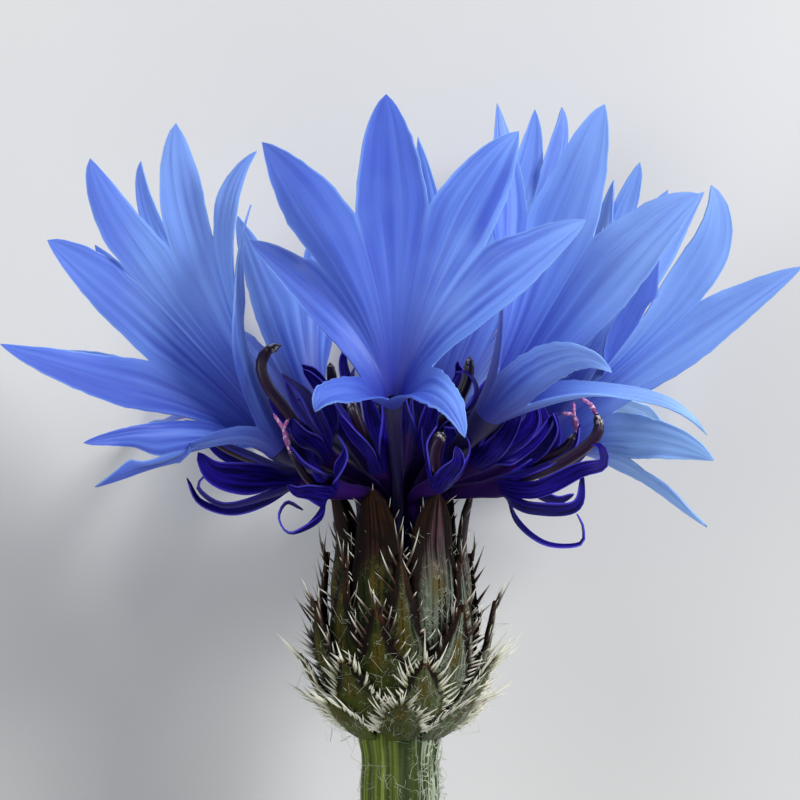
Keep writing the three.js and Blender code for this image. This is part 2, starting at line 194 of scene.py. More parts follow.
# %% A helper that wires nodes
class Finish:
    """A material with one Principled shader, and short ways to wire nodes into it."""

    def __init__(self, name):
        self.material = bpy.data.materials.new(name)
        self.material.use_nodes = True
        self.tree = self.material.node_tree
        self.shader = self.tree.nodes["Principled BSDF"]

    def node(self, kind, inputs=None, **settings):
        made = self.tree.nodes.new(kind)
        for key, value in settings.items():
            setattr(made, key, value)
        for key, value in (inputs or {}).items():
            self.put(made.inputs[key], value)
        return made

    def put(self, socket, value):
        """A socket takes either a number or another node's output."""
        if isinstance(value, bpy.types.NodeSocket):
            self.tree.links.new(value, socket)
        else:
            socket.default_value = value

    def math(self, operation, a, b=0.0, c=0.0):
        made = self.node("ShaderNodeMath", {0: a, 1: b, 2: c}, operation=operation)
        return made.outputs[0]

    def ease(self, value, low, high):
        """0 below low, 1 above high; low may be the larger to turn it round."""
        made = self.node("ShaderNodeMapRange", {"Value": value, "From Min": low, "From Max": high})
        made.interpolation_type = "SMOOTHSTEP"
        return made.outputs["Result"]

    def mix(self, share, under, over):
        made = self.node("ShaderNodeMix", {"Factor": share}, data_type="RGBA")
        for socket, value in ((made.inputs[6], under), (made.inputs[7], over)):
            self.put(socket, value if isinstance(value, bpy.types.NodeSocket) else (*value, 1))
        return made.outputs[2]

    def noise(self, vector, scale, detail=2.0, rough=0.5, warp=0.0):
        made = self.node("ShaderNodeTexNoise", {"Vector": vector, "Scale": scale, "Detail": detail,
                                                "Roughness": rough, "Distortion": warp})
        return made.outputs["Fac"]

    def uv(self):
        """Across and along a sheet, as two numbers and the whole-number part of x."""
        place = self.node("ShaderNodeUVMap", uv_map="UVMap").outputs[0]
        parts = self.node("ShaderNodeSeparateXYZ", {0: place})
        across = self.math("FRACT", parts.outputs[0])
        return across, parts.outputs[1], self.math("FLOOR", parts.outputs[0])

    def vector(self, x, y, z=0.0):
        return self.node("ShaderNodeCombineXYZ", {0: x, 1: y, 2: z}).outputs[0]

    def stretched(self, across, times_across, along, times_along):
        """Where to read a noise so that it makes lines that run along a sheet."""
        return self.vector(self.math("MULTIPLY", across, times_across),
                           self.math("MULTIPLY", along, times_along))

    def here(self):
        return self.node("ShaderNodeTexCoord").outputs["Object"]

    def xyz(self):
        """The place in the frame, as three numbers in metres."""
        return self.node("ShaderNodeSeparateXYZ", {0: self.here()}).outputs

    def both(self, a, b):
        """Where both of two masks are on."""
        return self.math("MULTIPLY", a, b)

    def bump(self, height, depth_mm, strength=1.0):
        made = self.node("ShaderNodeBump", {"Height": height, "Distance": depth_mm * MM,
                                            "Strength": strength})
        self.tree.links.new(made.outputs[0], self.shader.inputs["Normal"])

    def set(self, **values):
        for key, value in values.items():
            self.put(self.shader.inputs[key.replace("_", " ")], value)
        return self.material


print("finish kit ready")

# %% [markdown]
# ## The blue of the ray florets
#
# A cornflower petal is a thin skin full of blue sap. Light goes through it, so thin rims look pale and
# deep places look violet. Fine veins run from the tube to each tip. Subsurface scattering stands for the
# light inside the petal; the veins are noise that is stretched along the lobe, which keeps them from
# looking ruled.


# %% Petal finish
def petal_finish():
    f = Finish("petal_blue")
    across, along, lobe = f.uv()
    edge = f.math("ABSOLUTE", f.math("SUBTRACT", across, 0.5))
    veins_at = f.math("MULTIPLY_ADD", lobe, 7.3, across)
    streaks = f.noise(f.stretched(veins_at, 2.7, along, 0.5), 1.6, 2.0, 0.5)
    fine = f.noise(f.stretched(veins_at, 15.0, along, 1.2), 1.5, 3.0, 0.6)
    cloud = f.noise(f.here(), 200.0, 2.0)
    blue = f.mix(f.ease(streaks, 0.3, 0.66), (0.050, 0.100, 0.52), (0.165, 0.31, 0.90))
    blue = f.mix(f.math("MULTIPLY", f.ease(cloud, 0.45, 0.7), 0.4), blue, (0.22, 0.40, 0.94))
    x, y, z = f.xyz()
    # Painted light and shade on each side of the head: two masks, how much of the colour they let in, the
    # colour.
    painted_light_zones = [
        # painted light, paler where the lamp falls: the right side, its lowest lobes, the tall lobes on the
        # left
        (f.ease(x, 0.003, 0.012), f.ease(along, 0.1, 0.5), 0.6, (0.30, 0.50, 1.0)),
        (f.ease(x, 0.0085, 0.0115), f.ease(y, 0.0192, 0.0176), 0.7, (0.33, 0.57, 1.0)),
        (f.ease(x, -0.004, -0.009), f.ease(y, 0.0205, 0.0245), 0.5, (0.28, 0.47, 1.0)),
        # painted shade, darker where less light falls: the far left, the low left, the left of the front
        # trumpet, the inner lobe of the right one, in the shadow of the lobe before it
        (f.ease(x, -0.0122, -0.0146), f.ease(along, 0.1, 0.4), 0.6, (0.085, 0.155, 0.66)),
        (f.ease(x, -0.006, -0.009), f.ease(y, 0.0222, 0.0192), 0.5, (0.050, 0.088, 0.44)),
        (f.ease(x, 0.0026, 0.0), f.ease(z, 0.0212, 0.0222), 0.62, (0.062, 0.115, 0.55)),
        (f.both(f.ease(x, 0.0085, 0.0100), f.ease(z, 0.0099, 0.0109)), f.ease(lobe, 0.6, 0.4),
         0.8, (0.060, 0.115, 0.58)),
    ]
    for first_mask, second_mask, share, colour in painted_light_zones:
        blue = f.mix(f.math("MULTIPLY", f.both(first_mask, second_mask), share), blue, colour)
    # Painted light: the thin rims of the lobes are paler, as where light passes through them.
    rim = f.both(f.ease(edge, 0.44, 0.5), f.ease(along, 0.45, 0.7))
    blue = f.mix(f.math("MULTIPLY", rim, 0.6), blue, (0.26, 0.46, 1.0))
    blue = f.mix(f.math("MULTIPLY", f.ease(fine, 0.52, 0.66), 0.3), blue, (0.05, 0.09, 0.48))
    # Darker and more violet towards the throat and down the tube: partly the tube's own violet, partly
    # painted shade deep in the throat.
    blue = f.mix(f.ease(along, 0.46, -0.02), blue, (0.020, 0.026, 0.28))
    blue = f.mix(f.ease(along, 0.05, -0.15), blue, (0.008, 0.004, 0.060))
    grain = f.noise(f.here(), 9000.0, 1.0)
    height = f.math("ADD", f.math("MULTIPLY", fine, 0.6), f.math("MULTIPLY", grain, 0.3))
    f.bump(height, 0.02, 0.45)
    return f.set(Base_Color=blue, Roughness=0.5, Specular_IOR_Level=0.35, Subsurface_Weight=0.3,
                 Subsurface_Radius=(0.25, 0.35, 1.0), Subsurface_Scale=0.0005)


PETAL = petal_finish()
print("made", PETAL.name)

# %% [markdown]
# ## Sheets and tubes
#
# Two builders do all the shaping. A sheet is a flat grid whose points are moved over a surface; a tube
# is the same grid rolled up round a path, with its two long edges merged. Extruding a circle by hand
# would give the same tube, but moving a grid keeps a clean UV map, which the veins need.


# %% Builders
UV_MARGIN = 0.002  # keeps each lobe's x off the next whole number
RIB_DEPTH = 0.03  # as a share of the radius


def grid(bm, across, along, place, lobe=0, start=0.0):
    """Adds a grid and moves its points to place(u, v): u is 0 to 1 along, v is -1 to 1 across."""
    uv_map = bm.loops.layers.uv.get("UVMap") or bm.loops.layers.uv.new("UVMap")
    verts = bmesh.ops.create_grid(bm, x_segments=across, y_segments=along, size=1.0)["verts"]
    flat = {vert: ((vert.co.y + 1) / 2, vert.co.x) for vert in verts}
    for face in {face for vert in verts for face in vert.link_faces}:
        face.smooth = True
        for loop in face.loops:
            u, v = flat[loop.vert]
            loop[uv_map].uv = (lobe + UV_MARGIN + (1 - 2 * UV_MARGIN) * (v + 1) / 2, start + u)
    for vert, (u, v) in flat.items():
        vert.co = place(u, v)
    return verts


def steady_sides(points, first_side):
    """Two side directions at each point of a path, turning as little as the path allows."""
    sides = []
    side = first_side
    for i, point in enumerate(points):
        ahead = points[min(i + 1, len(points) - 1)] - points[max(i - 1, 0)]
        ahead.normalize()
        side = (side - ahead * side.dot(ahead)).normalized()
        sides.append((side, ahead.cross(side)))
    return sides


def tube(bm, points, radii, sides, first_side, lobe=0, start=0.0, angle=None, ribs=0):
    """A tube round a list of points, closed wherever a radius is 0, with its wall folded into ribs."""
    frames = steady_sides(points, first_side)
    last = len(points) - 1

    def place(u, v):
        i = round(u * last)
        a, b = frames[i]
        turn = angle(v) if angle else math.pi * v
        fold = 1 - RIB_DEPTH * math.cos(ribs * turn) if ribs else 1
        return points[i] + (a * math.cos(turn) + b * math.sin(turn)) * radii[i] * fold

    verts = grid(bm, sides, last, place, lobe, start)
    bmesh.ops.remove_doubles(bm, verts=verts, dist=MERGE)


def finish_piece(bm, name, materials, node=None, thickness=0.0):
    for edge in bm.edges:
        edge.smooth = not (thickness and edge.is_boundary)
    for vert in bm.verts:
        vert.co.z = max(vert.co.z, GROUND + MERGE)
        vert.co = (vert.co + FOOT) * MM
    mesh = bpy.data.meshes.new(name)
    bm.to_mesh(mesh)
    bm.free()
    for material in materials:
        mesh.materials.append(material)
    piece = bpy.data.objects.new(name, mesh)
    bpy.context.collection.objects.link(piece)
    if thickness:
        wall = piece.modifiers.new("wall", "SOLIDIFY")
        wall.thickness = thickness * MM
        wall.offset = 0
    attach(piece, "root")
    if node:
        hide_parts(node)
    return piece


print("builders ready")

# %% [markdown]
# ## How a trumpet opens
#
# A ray floret is a narrow tube that flares and splits into pointed lobes. Each lobe has a middle line,
# a curve from the throat to its tip. Two neighbours share a seam half way between their middle lines
# until the lobes are as wide as they grow; there the seam splits and each lobe tapers to its own point.
# Cutting the lobes out of a cone would leave them flat, while this lets every lobe lean its own way.

# %% Corolla builder
PLEATS = 2  # furrows in each half of a lobe
RIM_REACH = 0.2  # the share of a lobe's length over which it leaves the round rim
MOST_RAGGED = 0.13
LEAST_RAGGED = 0.02
FULL_TURN = 6.28  # radians
TURN_FROM = Vector((0.31, 0.2, 0.93))  # any direction that no floret faces


class Throat:
    """The rim of a tube: its centre, the way it faces and how the lobes share it."""

    def __init__(self, centre, forward, radius, tips):
        self.centre = centre
        self.radius = radius
        self.forward = forward
        self.east = forward.cross(TURN_FROM).normalized()
        self.north = forward.cross(self.east)
        self.share = 2 * math.pi / len(tips)
        self.sense, self.start = self.best_turn([tip - centre for tip in tips])

    def best_turn(self, ways):
        """The turn of the rim, and the way round it, that suits where the lobes go."""
        found = []
        for sense in (1, -1):
            angles = [math.atan2(w.dot(self.north), w.dot(self.east)) - sense * i * self.share
                      for i, w in enumerate(ways)]
            c = sum(math.cos(a) for a in angles)
            s = sum(math.sin(a) for a in angles)
            found.append((math.hypot(c, s), sense, math.atan2(s, c)))
        return max(found)[1:]

    def way(self, lobe):
        """Out from the centre towards a lobe, or between two for a half number."""
        bearing = self.start + self.sense * lobe * self.share
        return self.east * math.cos(bearing) + self.north * math.sin(bearing)

    def rim(self, lobe):
        return self.centre + self.way(lobe) * self.radius


def between(ribs, i, k, v):
    """On the rounded section through the middle lines: v 0 on line i, 1 or -1 half way to a neighbour."""
    step = 1 if v > 0 else -1
    a, b, c, d = (ribs[(i + n * step) % len(ribs)][k] for n in (-1, 0, 1, 2))
    return rounded(a, b, c, d, abs(v) / 2)


def seam_length(ribs, i, limit, latest):
    """How many steps lobe i and the next stay joined: until they are as wide as they grow."""
    j = (i + 1) % len(ribs)
    for k in range(1, latest):
        if (ribs[i][k] - ribs[j][k]).length / 2 > limit:
            return k
    return latest


def free_edge(rib, beside, towards, split, first, width, draw):
    """A lobe's own edge beyond the split: it keeps off its neighbour and tapers to the tip."""
    steps = len(rib) - 1
    ragged = 0
    if draw["ragged"]:
        ragged = min(max(draw["ragged"] / (rib[-1] - rib[0]).length, LEAST_RAGGED), MOST_RAGGED)
    taper = draw["dice"].uniform(*draw["taper"])
    line = {}
    for k in range(split + 1, steps + 1):
        t = (k - split) / (steps - split)
        ahead = (rib[k] - rib[k - 1]).normalized()
        way = first.normalized().lerp(towards[k], smooth(1.6 * t))
        way = (way - ahead * way.dot(ahead) * smooth(2 * t)).normalized()
        room = (beside[k] - rib[k]).length / 2
        full = min(first.length + (width - first.length) * smooth(2.5 * t), max(room, first.length))
        tooth = 1 + draw["dice"].uniform(-1, 1) * ragged * smooth(5 * t)
        line[k] = rib[k] + way * full * (1 - t) ** taper * (1 + draw["swell"] * t) * tooth
    return line


def corolla(bm, throat, ribs, widths, latest_split, across, draw, clearance=0.0):
    """Adds the flaring part of a floret; draw says how its lobes are drawn out."""
    steps = len(ribs[0]) - 1
    count = len(ribs)
    splits = [seam_length(ribs, i, (widths[i] + widths[(i + 1) % count]) / 2, round(latest_split * steps))
              for i in range(count)]
    for i, rib in enumerate(ribs):
        before, after = ribs[i - 1], ribs[(i + 1) % count]
        flat = [((after[k] - rib[k]).normalized() - (before[k] - rib[k]).normalized()).normalized()
                for k in range(steps + 1)]
        split = {1: splits[i], -1: splits[i - 1]}
        if draw["strap"]:
            for k in range(min(split.values()) + 1, steps + 1):
                ahead = (rib[k] - rib[k - 1]).normalized()
                flat[k] = (flat[k - 1] - ahead * flat[k - 1].dot(ahead)).normalized()
        free = {}
        for side, beside in ((1, after), (-1, before)):
            first = between(ribs, i, split[side], side) - rib[split[side]]
            towards = [way * side for way in flat]
            free[side] = free_edge(rib, beside, towards, split[side], first, widths[i], draw)
        phase = draw["dice"].uniform(0, FULL_TURN)

        def place(u, v):
            k = round(u * steps)
            side = 1 if v > 0 else -1
            last_joined = split[side]
            ahead = (rib[min(k + 1, steps)] - rib[max(k - 1, 0)]).normalized()
            face = flat[k].cross(ahead).normalized()
            if k <= last_joined:
                point = between(ribs, i, k, v)
            else:
                t = (k - last_joined) / (steps - last_joined)
                joined = between(ribs, i, last_joined, side) - rib[last_joined]
                bow = between(ribs, i, last_joined, v) - rib[last_joined] - joined * abs(v)
                point = rib[k] + (free[side][k] - rib[k]) * abs(v) + bow * (1 - t) ** draw["flatten"]
                wave = draw["wave"] * v * v * math.sin(6 * t + phase)
                point = point + face * wave * smooth(2 * t) * (1 - t)
            to_rim = throat.rim(i + v / 2) - between(ribs, i, 0, v)
            point = point + to_rim * (1 - smooth(u / RIM_REACH))
            pleat = draw["pleat"] * (math.cos(2 * math.pi * PLEATS * v) - 1) / 2
            point = point + face * pleat * smooth(u * 2 - 0.2) * (1 - u * u)
            point.z = max(point.z, GROUND + clearance)
            return point

        grid(bm, across, steps, place, lobe=i)
    bmesh.ops.remove_doubles(bm, verts=bm.verts[:], dist=MERGE)
    inside = [vert for vert in bm.verts if not vert.is_boundary]
    bmesh.ops.smooth_vert(bm, verts=inside, factor=0.5, use_axis_x=True, use_axis_y=True, use_axis_z=True)


print("corolla builder ready")

# %% [markdown]
# ## The eight ray florets
#
# Every trumpet starts as a thin tube on the receptacle, deep in the cup, passes through the mouth of the
# cup with the others and then bends outwards. The lists below say where each trumpet opens and where its
# lobes end. The lowest ones touch the surface and bend along it, and they carry the head.

# %% Where the ray florets open and end
# Each floret: its azimuth in the bundle, its throat, and for every lobe its tip, its half width and, where
# it leaves the usual curve, the points that pull its middle line near the tip and near the throat.
RAYS = {
    "front": (-3, (-0.34, 17.15, 8.6), [
        ((-7.34, 25.03, 7.6), 1.2),
        ((-6.66, 29.7, 9.6), 1.75, (-4.05, 26.16, 10.2)),
        ((-0.67, 31.99, 10.2), 1.7),
        ((5.74, 30.22, 9.9), 1.75, (3.37, 27.35, 10.6)),
        ((8.94, 25.9, 10.8), 1.7, (5.04, 23.25, 11)),
        ((3.1, 15.44, 12.9), 1, (2.48, 17.82, 13.2), (1.2, 18.45, 11)),
        ((-4.05, 16.68, 12.9), 1.15, (-3.71, 17.96, 13.2), (-2.4, 17.97, 11.2))]),
    "front_right": (41, (4.4, 16.66, 6), [
        ((4.76, 31.82, 5.2), 1.2),
        ((10.02, 31.72, 6.2), 1.6),
        ((14.56, 27.25, 8.2), 2, (11.63, 25.24, 8.6)),
        ((14.82, 15.56, 9.6), 0.75, (12.31, 19.18, 9.6), (7.28, 17.25, 8.2)),
        ((10.15, 18.54, 11.8), 1.15, (8.37, 20.6, 12), (5.8, 18.46, 9.4))]),
    "right": (110, (7.46, 14.83, -2.4), [
        ((12.98, 25.08, 2.6), 1.6),
        ((15.52, 27.98, 0.6), 1.35, (17.24, 24, 0.2)),
        ((20.12, 23.94, 0.4), 1.4, (15.74, 21.25, 0.2)),
        ((15.5, 14.24, 3.6), 1.15, (13.14, 15.76, 2.4)),
        ((15.26, 10.94, 1.6), 0.8, (12.44, 13.17, 1.4)),
        ((13.05, 14.44, -6.5), 1)]),
    "under_right": (131, (7.15, 16.23, -5.8), [
        ((10.89, 28.45, -5), 0.9),
        ((12.2, 29.35, -4.6), 1.1),
        ((13.65, 27.95, -5.2), 0.9),
        ((15.56, 27.9, -6.6), 1.1, (13.89, 25.93, -6)),
        ((15.54, 20.88, -10), 1.4),
        ((14.11, 15.14, -14.8), 1.4),
        ((8.75, 14.72, -15.2), 1.2)]),
    "under": (170, (2.06, 16.48, -8.6), [
        ((0.93, 30.84, -9.4), 1.2, (1.55, 27.06, -9)),
        ((6.98, 32.29, -9.4), 1.1, (7.02, 28.09, -9)),
        ((8.36, 32.37, -9), 0.9, (9.03, 29.12, -9)),
        ((8.97, 24.11, -15.5), 1.5),
        ((4.76, 14.71, -15.9), 1.4),
        ((-1.48, 18.31, -15.9), 1.4)]),
    "under_left": (-149, (-4.37, 16.33, -7.6), [
        ((-3.3, 28.19, -8.8), 1.3),
        ((-8.38, 26.77, -9.6), 1.2),
        ((-10.24, 21.47, -15.5), 1.4),
        ((-8.71, 14.72, -15.4), 1.3),
        ((-3.16, 14.09, -14.8), 1.2)]),
    "left_low": (-108, (-6.97, 15.48, -2.9), [
        ((-10.54, 25.68, -1), 1.2),
        ((-13.05, 29.29, -2.2), 0.85, (-13.42, 26.59, -2.6)),
        ((-15.48, 25.12, -4.2), 1.2),
        ((-17.33, 19.71, -7), 1.4),
        ((-13.71, 15.56, -15.2), 1.2)]),
    "left": (-62, (-6.03, 15.03, 3.2), [
        ((-7.27, 26.77, 6.6), 0.85, (-8.69, 22.62, 6.6)),
        ((-7.03, 29.49, 4.6), 1, (-10.21, 26.82, 5)),
        ((-11.06, 30.93, 3.4), 1.4, (-11.27, 26.39, 3.2)),
        ((-15.31, 29.2, 3.4), 1.25, (-14.24, 24.92, 3)),
        ((-17.47, 25.17, 2.8), 1.5),
        ((-19.76, 20.02, 3.4), 1.4, (-15.57, 17.99, 3.2)),
        ((-15.55, 15.14, 5.2), 0.6, (-13.28, 15.68, 4.6)),
        ((-15.04, 12.96, 3.8), 0.8, (-12.33, 14.19, 3.8))]),
}
print("ray florets to build:", len(RAYS))

# %% [markdown]
# ## From the ovary to the tips
#
# On the plant a ray floret is one skin from its ovary to its tips. It could be one loft, but a tube is
# closed all round and lobes are not, so the two are made apart and merged at the throat, where both have
# the same number of sides. A Solidify modifier then gives the whole skin its thickness.

# %% Build the ray florets
RAY_RING = 2.0  # how far from the axis their tubes leave the cup
RAY_THROAT = {"front": 0.42}
RAY_THROAT_USUAL = 0.75
RAY_SPLIT = 0.62
RAY_STEPS = 36
RAY_ACROSS = 16
TUBE_RADIUS = 0.24
OVARY_RADIUS = 0.3
TUBE_STEPS = 26
RIM_MERGE = 0.003  # joins a corolla to its tube
FLOOR_GAP = 0.01  # under the skin of the lowest lobes


def floret_path(azimuth, ring, throat):
    """From the ovary up through the mouth of the cup to the throat, and the way it faces there."""
    root = around(azimuth, ring * 1.05, RECEPTACLE_TOP + 0.15)
    mouth = around(azimuth, ring, MOUTH)
    out = throat - mouth
    elbow = mouth + Vector((0, out.length * 0.3, 0))
    bend = mouth.lerp(throat, 0.62) + Vector((0, out.length * 0.02, 0))
    half = TUBE_STEPS // 2
    points = [root.lerp(mouth, i / half) for i in range(half)]
    rest = TUBE_STEPS - half
    points += [bezier(mouth, elbow, bend, throat, i / rest) for i in range(rest + 1)]
    return points, (throat - bend).normalized()


def floret_radii(rim, waist, ovary):
    """Ovary, narrow tube, then the flare up to the rim."""
    shape = [(0, 0), (0.04, ovary * 0.8), (0.13, ovary), (0.2, waist * 0.8), (0.55, waist),
             (0.72, waist + 0.12 * rim), (0.86, waist + (rim - waist) * 0.45), (1, rim)]
    return [along_line(shape, i / TUBE_STEPS) for i in range(TUBE_STEPS + 1)]


def rooted_tube(bm, points, radii, throat, lobes, across):
    """The tube under a corolla, with its rim cut exactly as the lobes share it."""
    down = points[::-1]
    half_turn = math.pi * throat.sense

    def angle(v):
        return throat.start + half_turn * (v + 1) - throat.sense * throat.share / 2

    tube(bm, down, radii[::-1], lobes * across, throat.east, start=-1.0, angle=angle)


PETAL_DRAW = {"pleat": 0.11, "wave": 0.3, "ragged": 0.4, "taper": (0.72, 0.95), "swell": 0.58,
              "flatten": 2, "strap": False}


def middle_line(throat, axis, i, tip, far=None, near=None):
    """A lobe's middle line; far and near pull it out of its usual curve."""
    start, tip = throat.rim(i), Vector(tip)
    reach = (tip - start).length
    near = Vector(near) if near else start + axis * reach * 0.3 + throat.way(i) * reach * 0.04
    far = Vector(far) if far else tip.lerp(start, 0.36) + axis * reach * 0.1
    return [bezier(start, near, far, tip, k / RAY_STEPS) for k in range(RAY_STEPS + 1)]


def ray_floret(name, azimuth, centre, lobes):
    centre = Vector(centre)
    points, forward = floret_path(azimuth, RAY_RING, centre)
    rim = RAY_THROAT.get(name, RAY_THROAT_USUAL)
    throat = Throat(centre, forward, rim, [Vector(lobe[0]) for lobe in lobes])
    ways = [Vector(lobe[0]) - centre for lobe in lobes]
    axis = sum((way * way.length for way in ways), Vector()).normalized()
    ribs = [middle_line(throat, axis, i, lobe[0], *lobe[2:]) for i, lobe in enumerate(lobes)]
    bm = bmesh.new()
    draw = {**PETAL_DRAW, "dice": random.Random(name)}
    widths = [lobe[1] for lobe in lobes]
    corolla(bm, throat, ribs, widths, RAY_SPLIT, RAY_ACROSS, draw, PETAL_THICKNESS / 2 + FLOOR_GAP)
    rooted_tube(bm, points, floret_radii(rim, TUBE_RADIUS, OVARY_RADIUS), throat, len(lobes), RAY_ACROSS)
    bmesh.ops.remove_doubles(bm, verts=bm.verts[:], dist=RIM_MERGE)
    bmesh.ops.recalc_face_normals(bm, faces=bm.faces[:])
    return finish_piece(bm, f"ray_petals_{name}", [PETAL], f"ray_floret_{name}",
                        PETAL_THICKNESS)


for ray_name, (ray_azimuth, ray_centre, ray_lobes) in RAYS.items():
    made = ray_floret(ray_name, ray_azimuth, ray_centre, ray_lobes)
    print(made.name, len(made.data.polygons), "faces")

# %% [markdown]
# ## The violet middle
#
# Each disc floret has a short bell that splits into five straps, and out of it stands a dark tube made
# of five anthers grown together. The style pushes up through that tube with the pollen on its tip and
# then forks. The corolla builder makes the bell as it made the trumpets; only its measures differ.


# %% Finishes of the disc florets
def disc_finish():
    f = Finish("disc_violet")
    across, along, lobe = f.uv()
    streaks_at = f.math("MULTIPLY_ADD", across, 5.0, f.math("MULTIPLY", lobe, 5.7))
    streaks = f.noise(f.vector(streaks_at, f.math("MULTIPLY", along, 1.2)), 1.7, 3.0, 0.6)
    # The florets' own deep violet, made darker still as painted shade over the deep middle of the head.
    violet = f.mix(f.ease(streaks, 0.38, 0.66), (0.0025, 0.001, 0.042), (0.015, 0.007, 0.26))
    edge = f.math("ABSOLUTE", f.math("SUBTRACT", across, 0.5))
    # Painted highlight: the thin edges of the straps are paler.
    rim = f.both(f.ease(edge, 0.4, 0.5), f.ease(along, 0.2, 0.45))
    violet = f.mix(f.math("MULTIPLY", rim, 0.6), violet, (0.11, 0.09, 0.75))
    # Painted shade: darker towards the base of the bell, deep among the florets.
    violet = f.mix(f.ease(along, 0.15, -0.3), violet, (0.022, 0.005, 0.085))
    f.bump(streaks, 0.04, 0.5)
    return f.set(Base_Color=violet, Roughness=0.5, Specular_IOR_Level=0.06, Subsurface_Weight=0.2,
                 Subsurface_Radius=(0.3, 0.2, 1.0), Subsurface_Scale=0.0004)


def anther_finish():
    f = Finish("anther_purple")
    across, along, _ = f.uv()
    ribs = f.math("ABSOLUTE", f.math("SINE", f.math("MULTIPLY", across, 5 * math.pi)))
    purple = f.mix(f.ease(along, 0.1, 0.5), (0.022, 0.007, 0.10), (0.010, 0.003, 0.018))
    purple = f.mix(f.math("MULTIPLY", ribs, 0.35), purple, (0.05, 0.014, 0.06))
    pollen = f.both(f.ease(f.noise(f.here(), 5200.0, 1.0), 0.5, 0.62), f.ease(along, 0.86, 1.0))
    purple = f.mix(pollen, purple, (0.62, 0.60, 0.55))
    f.bump(ribs, 0.05, 0.6)
    return f.set(Base_Color=purple, Roughness=0.34, Specular_IOR_Level=0.4)


def style_finish():
    f = Finish("style_pink")
    _, along, _ = f.uv()
    grain = f.noise(f.here(), 7000.0, 1.0)
    pink = f.mix(f.ease(along, 0.0, 0.9), (0.14, 0.02, 0.16), (0.50, 0.14, 0.42))
    pink = f.mix(f.ease(grain, 0.52, 0.66), pink, (0.78, 0.55, 0.72))
    f.bump(grain, 0.05, 0.8)
    return f.set(Base_Color=pink, Roughness=0.6, Subsurface_Weight=0.15, Subsurface_Scale=0.0003)


DISC = disc_finish()
ANTHER = anther_finish()
STYLE = style_finish()
print("made", DISC.name, ANTHER.name, STYLE.name)

